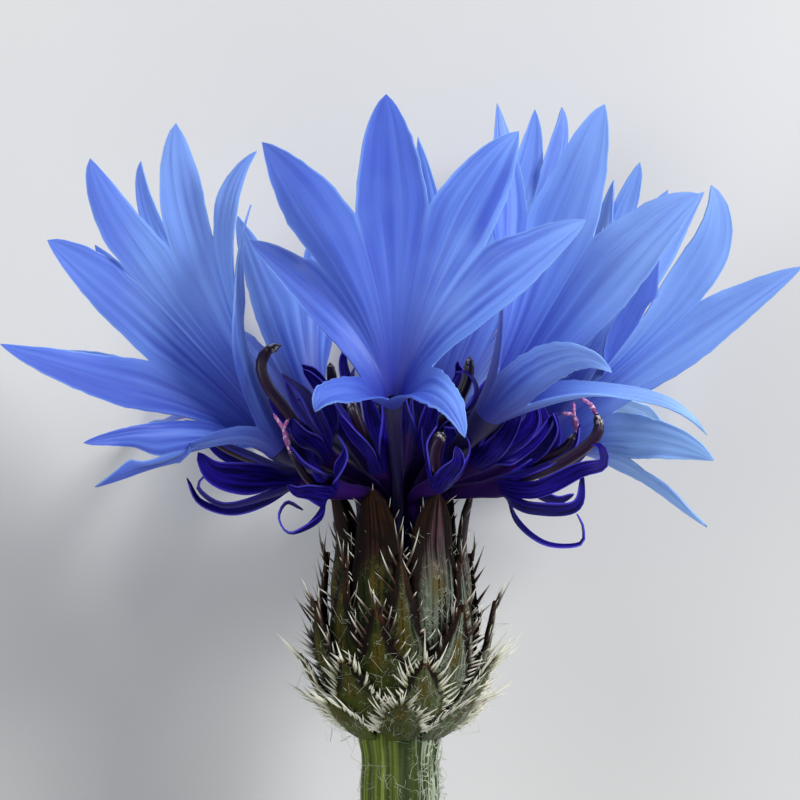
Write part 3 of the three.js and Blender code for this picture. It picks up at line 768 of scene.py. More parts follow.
# %% Where the disc florets open and end
# Each floret: its azimuth and distance from the axis in the mouth of the cup, its throat, its anther tube's
# radius and middle line, its style's points, and its five straps as half widths and middle lines. A style
# of three points forks at the first. Where the straps aren't listed, they take the usual form.
DISCS = {
    "outer_1": ((-84, 1.5), (-4.99, 13.36, 0.8), 0.27,
        [(-6.87, 14.11, 1.2), (-8.66, 14.91, 1.4), (-9.55, 15.66, 1.5), (-9.65, 16.45, 1.5)],
        None,
        [
            (0.7, [(-6.46, 14.17, 1.5), (-8.68, 15.07, 2.2), (-9.76, 15.61, 2.4)]),
            (0.85, [(-6.68, 13.39, 2.8), (-8.98, 13.6, 3.6), (-9.98, 14.68, 3.4)]),
            (0.32, [(-6.46, 12.48, 1.6), (-8.69, 11.98, 1.8), (-9.98, 12.78, 1.8), (-9.79, 13.42, 1.7),
                    (-9.15, 13.42, 1.6)]),
            (0.34, [(-6.6, 12.15, 0), (-8.42, 11.69, -0.5), (-10.02, 12.14, -0.6), (-10.67, 13.34, -0.5)]),
            (0.45, [(-6.92, 13.94, -1), (-8.79, 14.49, -1.4), (-9.76, 15.19, -1.6)])]),
    "outer_2": ((-32, 1.5), (-3.45, 12.92, 4.2), 0.2,
        [(-4.32, 13.17, 5), (-4.95, 13.97, 5.4), (-5.39, 14.8, 5.4)],
        [(-5.69, 15.78, 5.5), (-6.22, 16.61, 5.6), (-5.44, 16.37, 5.4)],
        [
            (0.5, [(-3.83, 13.62, 5.2), (-4.75, 14.12, 5.8), (-5.39, 14.99, 5.4)]),
            (0.4, [(-4.41, 12.74, 5.6), (-5.04, 12.75, 5.8), (-5.54, 13.09, 5.6)]),
            (0.42, [(-3.84, 11.35, 4.6), (-5.31, 10.67, 4.8), (-5.95, 11.45, 4.7), (-5.56, 12.23, 4.5),
                    (-4.77, 11.84, 4.4)]),
            (0.45, [(-2.94, 13.83, 6), (-2.64, 14.71, 6.6), (-3.02, 15.49, 6.8)]),
            (0.42, [(-4.05, 13.89, 3.2), (-4.55, 14.68, 3.2), (-4.95, 15.37, 3)])]),
    "outer_3": ((19, 1.5), (1.92, 13.22, 4.8), 0.38,
        [(1.67, 14.01, 5.2), (1.72, 14.9, 5.4), (2.11, 15.68, 5.6)],
        None,
        [
            (0.42, [(3.04, 13.62, 5), (3.44, 14.7, 5), (3, 15.73, 5), (2.16, 15.93, 5.2)]),
            (0.34, [(1.28, 14.01, 5.2), (1.28, 15.09, 5.3), (1.86, 16.07, 5.4)]),
            (0.45, [(2.34, 13.64, 6.4), (2.83, 14.23, 6.9), (2.73, 15.01, 6.9)]),
            (0.4, [(2.47, 14.29, 3.6), (2.57, 15.27, 3.3), (2.27, 16.26, 3.2)]),
            (0.4, [(1.58, 14.39, 3.4), (1.38, 15.47, 3.2), (1.19, 16.56, 3)])]),
    "outer_4": ((67, 1.5), (5.06, 12.98, 2), 0.31,
        [(6.93, 13.63, 2.6), (8.56, 14.48, 2.8), (9.6, 15.32, 2.8), (9.85, 16.01, 2.8), (9.65, 16.66, 2.8)],
        [(9.4, 17.05, 2.8), (8.96, 17.35, 2.9)],
        [
            (0.5, [(6.43, 11.86, 3), (8.64, 12.01, 3.4), (9.04, 13.59, 3.2)]),
            (0.42, [(6.66, 12.81, 3.8), (8.87, 13.8, 4.1), (10.01, 14.09, 3.8), (9.92, 14.98, 3.6),
                    (9.43, 15.03, 3.5)]),
            (0.36, [(6.69, 13.88, 2.6), (8.52, 14.77, 2.6), (8.92, 16.06, 2.4)]),
            (0.3, [(6.39, 13.96, 0.6), (7.79, 15.05, 0.4), (7.79, 16.65, 0.4)]),
            (0.26, [(5.78, 11.17, 1), (7.23, 10.07, 0.8), (8.97, 10.07, 0.8), (9.12, 10.92, 0.8),
                    (8.82, 11.57, 0.8)])]),
    "outer_5": ((90, 1.5), (5.9, 13.85, 0), 0.26,
        [(7.23, 14.36, 0.9), (8.21, 14.86, 1.3), (8.8, 15.61, 1.6)],
        [(8.64, 16.46, 1.8), (8.64, 17.15, 1.9), (7.99, 16.6, 2)],
        [
            (0.42, [(6.97, 13.37, 1.2), (8.45, 13.47, 1.6), (9.34, 13.97, 1.8)]),
            (0.42, [(6.98, 14.76, 0.8), (7.76, 15.76, 1.4), (7.55, 16.75, 1.8)]),
            (0.42, [(7.24, 13.75, 0.2), (8.72, 14.16, 0.9), (9.45, 14.96, 1.5)]),
            (0.4, [(6.51, 12.74, -0.4), (7.81, 12.24, -0.4), (8.71, 12.55, -0.2)]),
            (0.4, [(6.5, 14.95, 0), (7.24, 16, 0.4), (6.98, 17.15, 0.8)])]),
    "outer_6": ((151, 1.5), (2.64, 14.1, -4.6), 0.28,
        [(3.47, 15.21, -5.8), (4.09, 15.97, -6.4), (4.4, 16.99, -6.4)],
        None,
        None),
    "outer_7": ((191, 1.5), (-0.81, 13.99, -5), 0.28,
        [(-1.13, 14.95, -6.4), (-1.33, 15.97, -7.2), (-1.23, 17.15, -7.4)],
        None,
        None),
    "outer_8": ((232, 1.5), (-3.95, 13.7, -3.6), 0.28,
        [(-5.09, 14.6, -4.9), (-5.81, 15.31, -5.6), (-6.23, 16.23, -5.8)],
        None,
        None),
    "inner_1": ((-60, 0.85), (-3.75, 14.49, 4), 0.3,
        [(-4.86, 15.78, 4.8), (-5.84, 17.05, 5.2), (-6.52, 17.99, 5.5), (-6.81, 18.92, 5.5),
         (-6.52, 19.65, 5.3), (-5.79, 19.95, 5.1)],
        None,
        [
            (0.62, [(-3.64, 15.77, 4.3), (-4.62, 17.45, 4.5), (-5.86, 18.53, 4)]),
            (0.35, [(-4.83, 15.67, 4.2), (-6.05, 16.86, 4.6), (-6.39, 17.59, 4.6)]),
            (0.5, [(-4.12, 14.89, 5), (-4.9, 15.58, 5.4), (-5.4, 16.37, 5.2)]),
            (0.45, [(-3.17, 15.86, 2.4), (-3.87, 17.65, 2), (-4.82, 18.79, 1.8)]),
            (0.42, [(-4.37, 15.76, 1.8), (-5.17, 17.05, 1.4), (-5.73, 18.25, 1.2)])]),
    "inner_2": ((0, 0.85), (-1.04, 13.99, 3.2), 0.3,
        [(-1.53, 14.98, 4), (-2.07, 16.17, 4.3), (-2.46, 17.25, 4.3)],
        None,
        [
            (0.42, [(-1.67, 14.69, 4.8), (-2.4, 15.68, 5.2), (-3, 16.56, 5)]),
            (0.42, [(-0.69, 15.19, 4.8), (-0.64, 16.46, 5), (-0.88, 17.54, 4.8)]),
            (0.42, [(-1.88, 15.27, 2.8), (-2.72, 16.51, 2.8), (-3.47, 17.45, 2.6)]),
            (0.42, [(-1.19, 15.46, 1.8), (-1.49, 16.75, 1.4), (-1.89, 18, 1.2)]),
            (0.42, [(-0.35, 15.27, 2.8), (-0.1, 16.66, 2.6), (0.1, 17.84, 2.4)])]),
    "inner_3": ((60, 0.85), (3.86, 14.23, 3), 0.3,
        [(4.54, 15.37, 3.6), (5.28, 16.61, 3.8), (5.82, 17.5, 3.8), (6.12, 18.29, 3.6)],
        None,
        [
            (0.35, [(3.85, 15.77, 3.6), (4.64, 17.15, 3.8), (5.97, 18.34, 3.6)]),
            (0.5, [(5.34, 14.98, 3.2), (6.52, 16.21, 3.4), (6.28, 17.6, 3.2)]),
            (0.5, [(4.52, 14.69, 4.6), (5.3, 15.68, 5), (5.99, 16.96, 4.8)]),
            (0.34, [(5.06, 14.17, 2), (6.76, 15.21, 1.6), (7.66, 16.6, 1.4)]),
            (0.45, [(4.28, 15.46, 1.4), (4.98, 16.85, 1), (5.48, 18.25, 0.8)])]),
    "inner_4": ((120, 0.85), (2.32, 15.44, -2.2), 0.28,
        [(2.83, 16.74, -3), (3.24, 18.01, -3.4), (3.44, 19.17, -3.4)],
        None,
        None),
    "inner_5": ((180, 0.85), (0.2, 15.33, -2.6), 0.28,
        [(0.3, 16.64, -3.4), (0.41, 17.86, -4), (0.51, 19.18, -4)],
        None,
        None),
    "inner_6": ((240, 0.85), (-2.21, 15.24, -1.8), 0.28,
        [(-2.83, 16.49, -2.6), (-3.34, 17.76, -3), (-3.54, 19.17, -3)],
        None,
        None),
    "centre": ((0, 0), (1.19, 14.96, 1.8), 0.3,
        [(2.18, 16.36, 2.4), (2.97, 17.45, 2.7), (3.37, 18.49, 2.8), (3.46, 19.43, 2.8)],
        None,
        [
            (0.45, [(2.28, 15.87, 3), (3.46, 16.85, 3.2), (3.76, 17.84, 3.2), (3.36, 18.58, 3.2),
                    (2.77, 18.63, 3.2)]),
            (0.42, [(1.38, 16.06, 3.4), (1.68, 17.05, 3.8), (2.27, 17.94, 3.8)]),
            (0.42, [(0.59, 16.06, 2.6), (0.3, 17.25, 2.8), (0.2, 18.34, 2.8)]),
            (0.42, [(1, 16.25, 0.8), (1, 17.45, 0.4), (1.2, 18.75, 0.2)]),
            (0.42, [(1.99, 15.95, 1), (2.59, 17.25, 0.6), (3.1, 18.65, 0.4)])]),
}
print("disc florets to build:", len(DISCS))

# %% [markdown]
# ## One disc floret
#
# The straps curl past each other, so each middle line runs through a few given points, where a petal needed
# only its tip. Florets that nothing singles out draw their straps at random within the usual reach. Anther
# tube and style are tubes of changing radius; spinning a profile would make them too, but only straight.

# %% Build the disc florets
DISC_THROAT = 0.52
DISC_SPLIT = 0.16
DISC_STEPS = 22
DISC_ACROSS = 4
DISC_THICKNESS = 0.08
ANTHER_STEPS = 22
ANTHER_SIDES = 12
STYLE_RADIUS = 0.12
STYLE_STEPS = 12
STYLE_SIDES = 8
SLANT = Vector((0.2, 0.3, 1))  # the side from which thin tubes start their turn
STRAPS = 5
STRAP_FULLNESS = 1.3  # width of the straps against the listed one
STRAP_DRAW = {"pleat": 0.0, "wave": 0.08, "ragged": 0.0, "taper": (0.5, 0.6), "swell": 0.2,
              "flatten": 0.7, "strap": True}


def usual_straps(centre, forward, dice):
    """Five straps for a floret that nothing singles out."""
    side = forward.orthogonal().normalized()
    other = forward.cross(side)
    straps = []
    for i in range(STRAPS):
        turn = 2 * math.pi * (i + dice.uniform(-0.15, 0.15)) / STRAPS
        out = side * math.cos(turn) + other * math.sin(turn)
        reach = dice.uniform(3.8, 5.0)
        curl = dice.uniform(0.25, 0.5)
        straps.append((dice.uniform(0.36, 0.46), [
            centre + forward * reach * 0.35 + out * 0.9,
            centre + forward * reach * 0.75 + out * reach * 0.28,
            centre + forward * reach * (0.95 - 0.3 * curl) + out * reach * (0.3 + curl * 0.5)]))
    return straps


def disc_floret(name, ring, centre, anther_radius, anther, style, straps):
    dice = random.Random(name)
    centre = Vector(centre)
    points, forward = floret_path(*ring, centre)
    straps = straps or usual_straps(centre, forward, dice)
    probe = Throat(centre, forward, DISC_THROAT, [Vector(line[0]) for _, line in straps])

    def bearing(strap):
        away = Vector(strap[1][0]) - centre
        return math.atan2(away.dot(probe.north), away.dot(probe.east))

    straps = sorted(straps, key=bearing)
    throat = Throat(centre, forward, DISC_THROAT, [Vector(line[0]) for _, line in straps])
    ribs = [through([throat.rim(i), *(Vector(point) for point in line)], DISC_STEPS)
            for i, (_, line) in enumerate(straps)]
    bm = bmesh.new()
    draw = {**STRAP_DRAW, "dice": dice}
    widths = [width * STRAP_FULLNESS for width, _ in straps]
    corolla(bm, throat, ribs, widths, DISC_SPLIT, DISC_ACROSS, draw)
    radii = floret_radii(DISC_THROAT, TUBE_RADIUS, OVARY_RADIUS)
    rooted_tube(bm, points, radii, throat, len(straps), DISC_ACROSS)
    bmesh.ops.remove_doubles(bm, verts=bm.verts[:], dist=RIM_MERGE)
    bmesh.ops.recalc_face_normals(bm, faces=bm.faces[:])
    finish_piece(bm, f"disc_corolla_{name}", [DISC], f"disc_floret_{name}", DISC_THICKNESS)
    anthers(name, [centre - forward * 0.6, centre, *(Vector(point) for point in anther)], anther_radius)
    styles(name, Vector(anther[-1]), [Vector(point) for point in style or ()])


def anthers(name, points, radius):
    """The dark column of anthers."""
    shape = [(0, 0), (0.04, 0.7), (0.3, 0.75), (0.5, 1), (0.86, 0.95), (0.965, 0.72), (1, 0)]
    radii = [radius * along_line(shape, k / ANTHER_STEPS) for k in range(ANTHER_STEPS + 1)]
    bm = bmesh.new()
    tube(bm, through(points, ANTHER_STEPS), radii, ANTHER_SIDES, SLANT)
    bmesh.ops.recalc_face_normals(bm, faces=bm.faces[:])
    finish_piece(bm, f"anthers_{name}", [ANTHER])


def styles(name, start, points):
    """The style that comes out of the anther tube: one stalk for each of its ends."""
    if not points:
        return
    shape = [(0, 0), (0.05, 1), (0.5, 1.15), (0.6, 0.8), (0.9, 0.75), (1, 0)]
    radii = [STYLE_RADIUS * along_line(shape, k / STYLE_STEPS) for k in range(STYLE_STEPS + 1)]
    fork, *ends = points
    inside_tube = start * 1.4 - fork * 0.4
    bm = bmesh.new()
    for end in ends:
        tube(bm, through([inside_tube, start, fork, end], STYLE_STEPS), radii, STYLE_SIDES, SLANT)
    bmesh.ops.recalc_face_normals(bm, faces=bm.faces[:])
    finish_piece(bm, f"style_{name}", [STYLE])


for disc_name, places in DISCS.items():
    disc_floret(disc_name, *places)
print("made", len(DISCS), "disc florets")

# %% [markdown]
# ## The cup of bracts
#
# A bract is a leathery scale with a dark margin that breaks up into stiff pale bristles. The scales stand
# in rows that cover each other's gaps, like tiles. Each scale is a sheet laid on its row's own curved
# face, and its bristles are small bent spikes planted along its margin.


# %% Finishes of the bracts
def threads(f, scale, width, warp):
    """Curly pale threads: the lines where a soft noise passes its middle value."""
    field = f.noise(f.here(), scale, 1.0, 0.5, warp)
    off = f.math("ABSOLUTE", f.math("SUBTRACT", field, 0.5))
    return f.ease(off, width, width * 0.3)


def bract_finish():
    f = Finish("bract_green")
    across, along, lobe = f.uv()
    edge = f.math("MULTIPLY", f.math("ABSOLUTE", f.math("SUBTRACT", across, 0.5)), 2.0)
    ribs_at = f.math("MULTIPLY_ADD", across, 9.0, f.math("MULTIPLY", lobe, 3.3))
    ribs = f.noise(f.vector(ribs_at, f.math("MULTIPLY", along, 0.8)), 1.7, 3.0, 0.6)
    blotch = f.noise(f.here(), 900.0, 3.0, 0.6)
    x, y, _ = f.xyz()
    # right is the side of the cup that the lamp lights; the mixes below paint light and sheen on that side.
    right = f.ease(x, -0.001, 0.0045)
    high = f.ease(y, 0.0088, 0.0118)
    green = f.mix(f.ease(ribs, 0.4, 0.65), (0.004, 0.009, 0.001), (0.022, 0.036, 0.004))
    green = f.mix(f.ease(y, 0.0080, 0.0025), green, (0.062, 0.080, 0.010))
    green = f.mix(f.math("MULTIPLY", f.ease(blotch, 0.4, 0.62), 0.5), green, (0.020, 0.011, 0.010))
    green = f.mix(f.math("MULTIPLY", high, 0.96), green, (0.004, 0.0012, 0.0012))
    # Magenta patches on the upper scales: partly their own colour, partly painted light, brighter and more
    # magenta on the lit right, dark brown on the left.
    vivid = f.mix(right, (0.034, 0.010, 0.004), (0.17, 0.016, 0.10))
    vivid_at = f.both(f.ease(ribs, 0.45, 0.57), f.ease(blotch, 0.3, 0.55))
    green = f.mix(f.both(high, vivid_at), green, vivid)
    # Painted sheen: the scales turn silvery on their lit right side.
    painted_sheen = f.both(f.ease(ribs, 0.42, 0.6), f.math("MULTIPLY_ADD", high, -0.5, 0.78))
    green = f.mix(f.both(right, painted_sheen), green, (0.31, 0.355, 0.30))
    web = f.math("MAXIMUM", threads(f, 1300.0, 0.03, 1.5), threads(f, 2100.0, 0.035, 1.0))
    web = f.both(web, f.both(f.ease(blotch, 0.35, 0.6), f.ease(high, 1.0, 0.3)))
    # The wool is the scales' own, and its colour carries painted light: pale on the lit right, dark green in
    # the shade on the left.
    green = f.mix(f.math("MULTIPLY", web, 0.7), green, f.mix(right, (0.085, 0.11, 0.03), (0.46, 0.50, 0.43)))
    heart = f.both(f.ease(edge, 0.45, 0.1), f.both(f.ease(along, 0.5, 0.64), f.ease(along, 0.9, 0.76)))
    heart = f.both(heart, f.ease(ribs, 0.32, 0.62))
    green = f.mix(f.both(heart, f.ease(high, 1.0, 0.0)), green, (0.085, 0.058, 0.004))
    reach = f.math("MULTIPLY_ADD", f.math("SUBTRACT", along, 0.62), 1.5, edge)
    reach = f.math("ADD", reach, f.math("MULTIPLY", f.math("SUBTRACT", blotch, 0.5), 0.5))
    dark = f.both(f.ease(reach, 0.58, 0.82), f.ease(y, 0.002, 0.0055))
    green = f.mix(dark, green, (0.007, 0.003, 0.002))
    brown = f.both(f.ease(along, 0.8, 0.95), f.ease(ribs, 0.42, 0.62))
    green = f.mix(f.both(brown, f.ease(blotch, 0.35, 0.65)), green,
                  f.mix(high, (0.085, 0.032, 0.008), (0.036, 0.012, 0.004)))
    f.bump(f.math("ADD", ribs, f.math("MULTIPLY", web, 0.6)), 0.06, 0.7)
    return f.set(Base_Color=green, Roughness=0.6, Specular_IOR_Level=0.1)


def bristle_finish(name, root, darkening):
    """Dark at the root and pale at the tip; a bristle's own number says how far the dark goes."""
    f = Finish(name)
    _, along, number = f.uv()
    turns_at = f.math("MULTIPLY", number, darkening)
    pale = f.mix(f.ease(f.math("SUBTRACT", along, turns_at), 0.0, 0.5), root, (0.80, 0.79, 0.66))
    return f.set(Base_Color=pale, Roughness=0.5, Subsurface_Weight=0.1, Subsurface_Scale=0.0002)


def wool_finish():
    f = Finish("wool_white")
    grain = f.noise(f.here(), 1500.0, 1.0)
    return f.set(Base_Color=f.mix(grain, (0.30, 0.34, 0.20), (0.60, 0.63, 0.52)), Roughness=0.6)


BRACT = bract_finish()
BRISTLE_BROWN = bristle_finish("bristle_brown", (0.035, 0.013, 0.006), 0.065)
BRISTLE_STRAW = bristle_finish("bristle_straw", (0.20, 0.20, 0.06), 0.02)
WOOL = wool_finish()
print("made", BRACT.name, BRISTLE_BROWN.name, BRISTLE_STRAW.name, WOOL.name)

# %% The rows of bracts
# From the lowest: the azimuth of its first scale, and its face as heights and radii from root to tip.
BRACT_ROWS = [
    (0, [(0.35, 2.2), (0.9, 2.95), (1.6, 3.75), (2.4, 4.5)]),
    (17, [(0.9, 2.4), (1.7, 3.4), (2.9, 4.25), (4.6, 4.95)]),
    (-14, [(1.4, 2.5), (2.2, 3.3), (3.6, 4.0), (5.2, 4.5), (7.3, 4.6)]),
    (4, [(1.9, 2.6), (2.7, 3.2), (4.2, 3.75), (6.5, 4.05), (9.8, 3.52)]),
    (33, [(2.35, 2.7), (3.2, 2.95), (5, 3.35), (8, 3.5), (10.2, 3.25), (12.9, 3.6)]),
]
BRACTS_PER_ROW = 7
BRACT_THICKNESS = 0.15
BRACT_STEPS = 20
BRACT_ACROSS = 10
# The half width of a scale as a share of its sector, from root to tip.
SPEARHEAD = [(0, 0.7), (0.35, 0.95), (0.58, 0.8), (0.76, 0.5), (0.9, 0.22), (1, 0.03)]
STRAP = [(0, 0.62), (0.45, 0.92), (0.72, 0.92), (0.86, 0.74), (0.95, 0.38), (1, 0.03)]
SPEARHEAD_ROWS = 4
print("scales to build:", len(BRACT_ROWS) * BRACTS_PER_ROW)

# %% [markdown]
# ## A scale and its fringe
#
# The margin of a scale is torn into bristles, which grow longer towards its tip. Hair could be grown there,
# but it wouldn't be a mesh. So each bristle is a small bent tube that starts inside the margin. The lobe
# number in its UV map isn't needed for a lobe, and tells the finish how far the dark of its root goes.

# %% Scale and bristle
TIP_LIFT = [0.2, 0.1, 0.2, 0.15, 0.1]  # by row, as the next two
BRISTLES_PER_SIDE = [19, 18, 15, 13, 12]
BRISTLE_SIZE = [0.82, 0.86, 0.86, 0.8, 0.62]
BRISTLE_LENGTHS = (0.45, 0.8, 1.0, 1.2, 1.5)
BRISTLE_SIDES = 4
TIP_BRISTLES = 3
BROWN_FROM_ROW = 2


def on_line(points, u):
    """A point at share u of a line through (height, radius) points, with rounded corners."""
    place = u * (len(points) - 1)
    i = min(int(place), len(points) - 2)
    t = place - i
    near = [points[max(i - 1, 0)], points[i], points[i + 1], points[min(i + 2, len(points) - 1)]]
    return [rounded(a, b, c, d, t) for a, b, c, d in zip(*near)]


def bract(row, index):
    turn, face = BRACT_ROWS[row]
    outline = SPEARHEAD if row < SPEARHEAD_ROWS else STRAP
    dice = random.Random(f"bract {row} {index}")
    sector = 180 / BRACTS_PER_ROW
    azimuth = turn + index * 2 * sector
    longer = 1 - 0.03 * abs(math.sin(2.4 * index + row))
    lean = dice.uniform(-4, 4)
    lift = TIP_LIFT[row] * dice.uniform(0.6, 1.3)
    torn = [dice.uniform(0.86, 1.06) for _ in range(BRACT_STEPS + 1)]

    def place(u, v):
        height, radius = on_line(face, u * longer)
        half = along_line(outline, u) * sector * torn[round(u * BRACT_STEPS)]
        flare = lift * smooth((u - 0.7) / 0.3) ** 2
        keel = 0.16 * (1 - abs(v)) * smooth(u * 3)
        middle = radius - BRACT_THICKNESS / 2
        return around(azimuth + v * half + lean * u * u, middle + flare + keel, height)

    bm = bmesh.new()
    grid(bm, BRACT_ACROSS, BRACT_STEPS, place, lobe=index)
    bmesh.ops.remove_doubles(bm, verts=bm.verts[:], dist=MERGE)
    bmesh.ops.recalc_face_normals(bm, faces=bm.faces[:])
    bmesh.ops.solidify(bm, geom=bm.faces[:], thickness=BRACT_THICKNESS)
    blade_faces = len(bm.faces)
    for side in (-1, 1):
        count = BRISTLES_PER_SIDE[row]
        for j in range(count):
            u = 0.3 + 0.66 * (j + dice.uniform(-0.35, 0.35) + 0.5) / count
            bristle(bm, place, u, side, BRISTLE_SIZE[row], dice)
    for _ in range(TIP_BRISTLES):
        bristle(bm, place, dice.uniform(0.96, 0.99), 0, BRISTLE_SIZE[row], dice)
    bm.faces.ensure_lookup_table()
    for made_face in bm.faces[blade_faces:]:
        made_face.material_index = 1
    name = f"{row + 1}_{index + 1}"
    bristles = BRISTLE_BROWN if row >= BROWN_FROM_ROW else BRISTLE_STRAW
    finish_piece(bm, f"scale_{name}", [BRACT, bristles], f"bract_{name}")
    return place


def bristle(bm, place, u, side, size, dice):
    """A bent spike on the margin of a scale, leaning out and towards the scale's tip."""
    root = place(u, side * 0.95)
    ahead = (place(min(u + 0.04, 1), 0) - place(u - 0.04, 0)).normalized()
    sideways = (place(u, 1) - place(u, -1)).normalized() * (side or dice.uniform(-0.5, 0.5))
    outward = Vector((root.x, 0, root.z)).normalized()
    lean = 0.3 + 0.7 * smooth((u - 0.35) / 0.6)
    way = sideways * (1.15 - 0.6 * lean) + ahead * lean * 0.9 + outward * dice.uniform(0.05, 0.7)
    way.normalize()
    length = size * dice.choice(BRISTLE_LENGTHS) * dice.uniform(0.8, 1.2)
    length *= 0.8 + 0.35 * smooth((u - 0.4) / 0.5)
    curl = (ahead * dice.uniform(-0.2, 1.3) + outward * dice.uniform(-0.6, 0.8)) * length * 0.45
    line = [root - way * 0.12 + way * length * t + curl * t * t for t in (0, 0.03, 0.25, 0.5, 0.75, 1)]
    thick = dice.uniform(0.08, 0.13) * size
    first_side = sideways.cross(way).normalized() if side else outward
    number = dice.randrange(3) + round(7 * smooth((u - 0.45) / 0.4))
    tube(bm, line, [0, thick, thick * 0.85, thick * 0.6, thick * 0.33, 0], BRISTLE_SIDES, first_side, number)


print("bristles on a lowest scale:", 2 * BRISTLES_PER_SIDE[0] + TIP_BRISTLES)

# %% [markdown]
# ## Cobweb, and the cup put together
#
# Fine white wool covers the young plant, and some of it stays on the scales. The finish already draws the
# thinnest threads as lines in a noise. The ones that stand off the skin are three-sided tubes that wander a
# little at each step, one mesh for each row, since a thread may cross from scale to scale.

# %% Build the cup
STRAND_SIDES = 3
STRAND_FIRST_SIDE = Vector((0.3, 0.5, 0.8))


def strand(bm, root, way, sag, length, radius, dice):
    """One thread of wool: a thin three-sided tube with a slack, wandering curve."""
    wander = [Vector([dice.uniform(-1, 1) for _ in range(3)]) * 0.16 * n for n in range(6)]
    line = [root + (way * t + sag * t * t + w) * length for t, w in zip((0, 0.2, 0.4, 0.6, 0.8, 1), wander)]
    tube(bm, line, [radius] * 5 + [0], STRAND_SIDES, STRAND_FIRST_SIDE)


COBWEB_PER_BRACT = 20
COBWEB_RADIUS = 0.008


def cobweb(place, bm, dice):
    """Slack threads that lie over the face of a scale."""
    for _ in range(COBWEB_PER_BRACT):
        u, v = dice.uniform(0.2, 0.85), dice.uniform(-0.9, 0.9)
        root = place(u, v)
        outward = Vector((root.x, 0, root.z)).normalized()
        ahead = (place(u + 0.03, v) - place(u - 0.03, v)).normalized()
        sideways = ahead.cross(outward)
        turn = dice.gauss(0, 1.2)
        way = (ahead * math.cos(turn) + sideways * math.sin(turn) + outward * 0.2).normalized()
        strand(bm, root + outward * 0.03, way, -outward * 0.25, dice.uniform(0.4, 1.1), COBWEB_RADIUS, dice)


for bract_row in range(len(BRACT_ROWS)):
    web, web_dice = bmesh.new(), random.Random(f"web {bract_row}")
    for bract_index in range(BRACTS_PER_ROW):
        cobweb(bract(bract_row, bract_index), web, web_dice)
    finish_piece(web, f"cobweb_{bract_row + 1}", [WOOL])
print("made", len(BRACT_ROWS) * BRACTS_PER_ROW, "scales")

# %% [markdown]
# ## The stem
#
# The stem is ribbed, cut off flat and dusted with white wool. The ribs are real folds in the tube's wall,
# since they show in its outline. The cut face is a run of rings that lie almost in one plane, where pale
# pith shows inside the green skin. The wool is made of fine curved strands.


# %% Stem finish
STEM_RIBS = 13


def stem_finish():
    f = Finish("stem_green")
    across, along, _ = f.uv()
    turn = f.math("MULTIPLY", across, 2 * math.pi * STEM_RIBS)
    ribs = f.math("MULTIPLY_ADD", f.math("COSINE", turn), 0.5, 0.5)
    streaks = f.noise(f.stretched(across, 75.0, along, 3.0), 1.0, 3.0, 0.6)
    lit = f.both(ribs, f.ease(streaks, 0.3, 0.55))
    green = f.mix(lit, (0.030, 0.052, 0.003), (0.21, 0.285, 0.022))
    green = f.mix(f.math("MULTIPLY", f.ease(streaks, 0.5, 0.66), 0.6), green, (0.24, 0.30, 0.05))
    down = f.noise(f.here(), 2500.0, 3.0, 0.7)
    x = f.xyz()[0]
    # Painted shade: the stem's skin is darker from its middle to its right side.
    green = f.mix(f.math("MULTIPLY", f.ease(x, -0.0008, 0.0), 0.85), green, (0.012, 0.026, 0.002))
    woolly = f.math("MULTIPLY_ADD", f.ease(x, 0.0002, 0.0017), 0.85, 0.03)
    hairs = f.noise(f.stretched(across, 110.0, along, 14.0), 1.0, 2.0, 0.6, 0.8)
    web = f.math("MAXIMUM", threads(f, 1100.0, 0.04, 1.5), f.ease(hairs, 0.46, 0.6))
    green = f.mix(f.both(web, woolly), green, (0.56, 0.63, 0.48))
    pith = f.mix(f.ease(down, 0.35, 0.65), (0.16, 0.21, 0.06), (0.34, 0.38, 0.18))
    green = f.mix(f.ease(along, 0.953, 0.966), green, pith)
    f.bump(f.math("ADD", streaks, f.math("MULTIPLY", down, 0.4)), 0.08, 0.6)
    return f.set(Base_Color=green, Roughness=0.65, Specular_IOR_Level=0.25)


STEM = stem_finish()
print("made", STEM.name)

# %% Stem shape
STEM_LENGTH = 35
STEM_TOP = 1.95  # its radius under the cup
STEM_END = 1.35  # its radius where it is cut
STEM_SINK = 0.03  # how far its end is pressed flat by the surface
STEM_STEPS = 70
STEM_SIDES = 90
CUT_FACE = [0.97, 0.85, 0.5, 0]  # rings of the cut face, as shares of the radius
FACE_STEP = 0.01


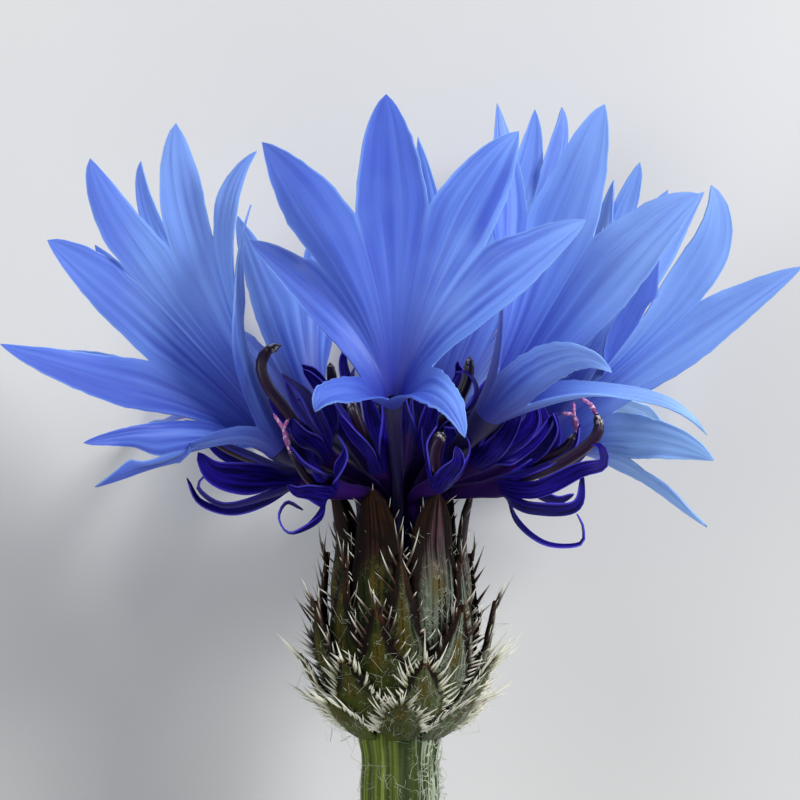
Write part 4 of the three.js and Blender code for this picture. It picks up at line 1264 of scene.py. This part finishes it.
def stem():
    """The swollen receptacle, then the stem down to its cut end."""
    first = Vector((0, RECEPTACLE_TOP, 0))
    near = Vector((0, -12, 0.6))
    far = Vector((0.4, -STEM_LENGTH * 0.7, GROUND * 0.78))
    last = Vector((0.9, -STEM_LENGTH, GROUND + STEM_END - STEM_SINK))
    shares = [k / STEM_STEPS for k in range(STEM_STEPS + 1)]
    points = [bezier(first, near, far, last, share) for share in shares]
    shape = [(0, 0), (0.02, 2.3), (0.05, 2.05), (0.08, 1.85), (0.11, STEM_TOP), (0.2, STEM_TOP * 0.96),
             (0.4, 1.7), (0.6, 1.55), (0.8, 1.42), (1, STEM_END)]
    radii = [along_line(shape, share) for share in shares]
    onward = (points[-1] - points[-2]).normalized()
    face = [points[-1] + onward * FACE_STEP * (k + 1) for k in range(len(CUT_FACE))]
    face_radii = [STEM_END * share for share in CUT_FACE]
    bm = bmesh.new()
    tube(bm, points + face, radii + face_radii, STEM_SIDES, Vector((1, 0, 0)), ribs=STEM_RIBS)
    bmesh.ops.recalc_face_normals(bm, faces=bm.faces[:])
    finish_piece(bm, "stem_skin", [STEM], "stem_and_receptacle")
    return points, shape


stem_points, stem_shape = stem()
print("stem runs from", tuple(stem_points[0]), "to", tuple(stem_points[-1]))

# %% Stem wool
STEM_WOOL = 1300
WOOL_RADIUS = 0.01
WOOL_FROM = 0.085  # shares of the stem's length, from its top
WOOL_REACH = 0.85
WOOL_CROWDING = 1.8  # above 1 the threads crowd under the head
SHADED_SIDE_BARE = 0.6  # the share of its threads that the shaded side goes without


def stem_wool(points, shape):
    """Slack threads that cling to the stem, thickest just under the head."""
    dice = random.Random("stem wool")
    bm = bmesh.new()
    for _ in range(STEM_WOOL):
        share = WOOL_FROM + WOOL_REACH * dice.random() ** WOOL_CROWDING
        k = int(share * (len(points) - 1))
        ahead = (points[k] - points[k + 1]).normalized()
        turn = dice.uniform(0, 2 * math.pi)
        out = Vector((math.cos(turn), 0, math.sin(turn)))
        out = (out - ahead * out.dot(ahead)).normalized()
        root = points[k].lerp(points[k + 1], dice.random()) + out * along_line(shape, share)
        if root.z < GROUND + 0.1:
            continue
        if out.x < 0.3 and dice.random() < SHADED_SIDE_BARE:
            continue
        way = ahead * dice.choice((-1, 1)) + ahead.cross(out) * dice.gauss(0, 0.35) + out * 0.16
        strand(bm, root, way.normalized(), -out * 0.25, dice.uniform(0.4, 1.3), WOOL_RADIUS, dice)
    finish_piece(bm, "stem_wool", [WOOL])


stem_wool(stem_points, stem_shape)
print("grew stem wool from", STEM_WOOL, "places")
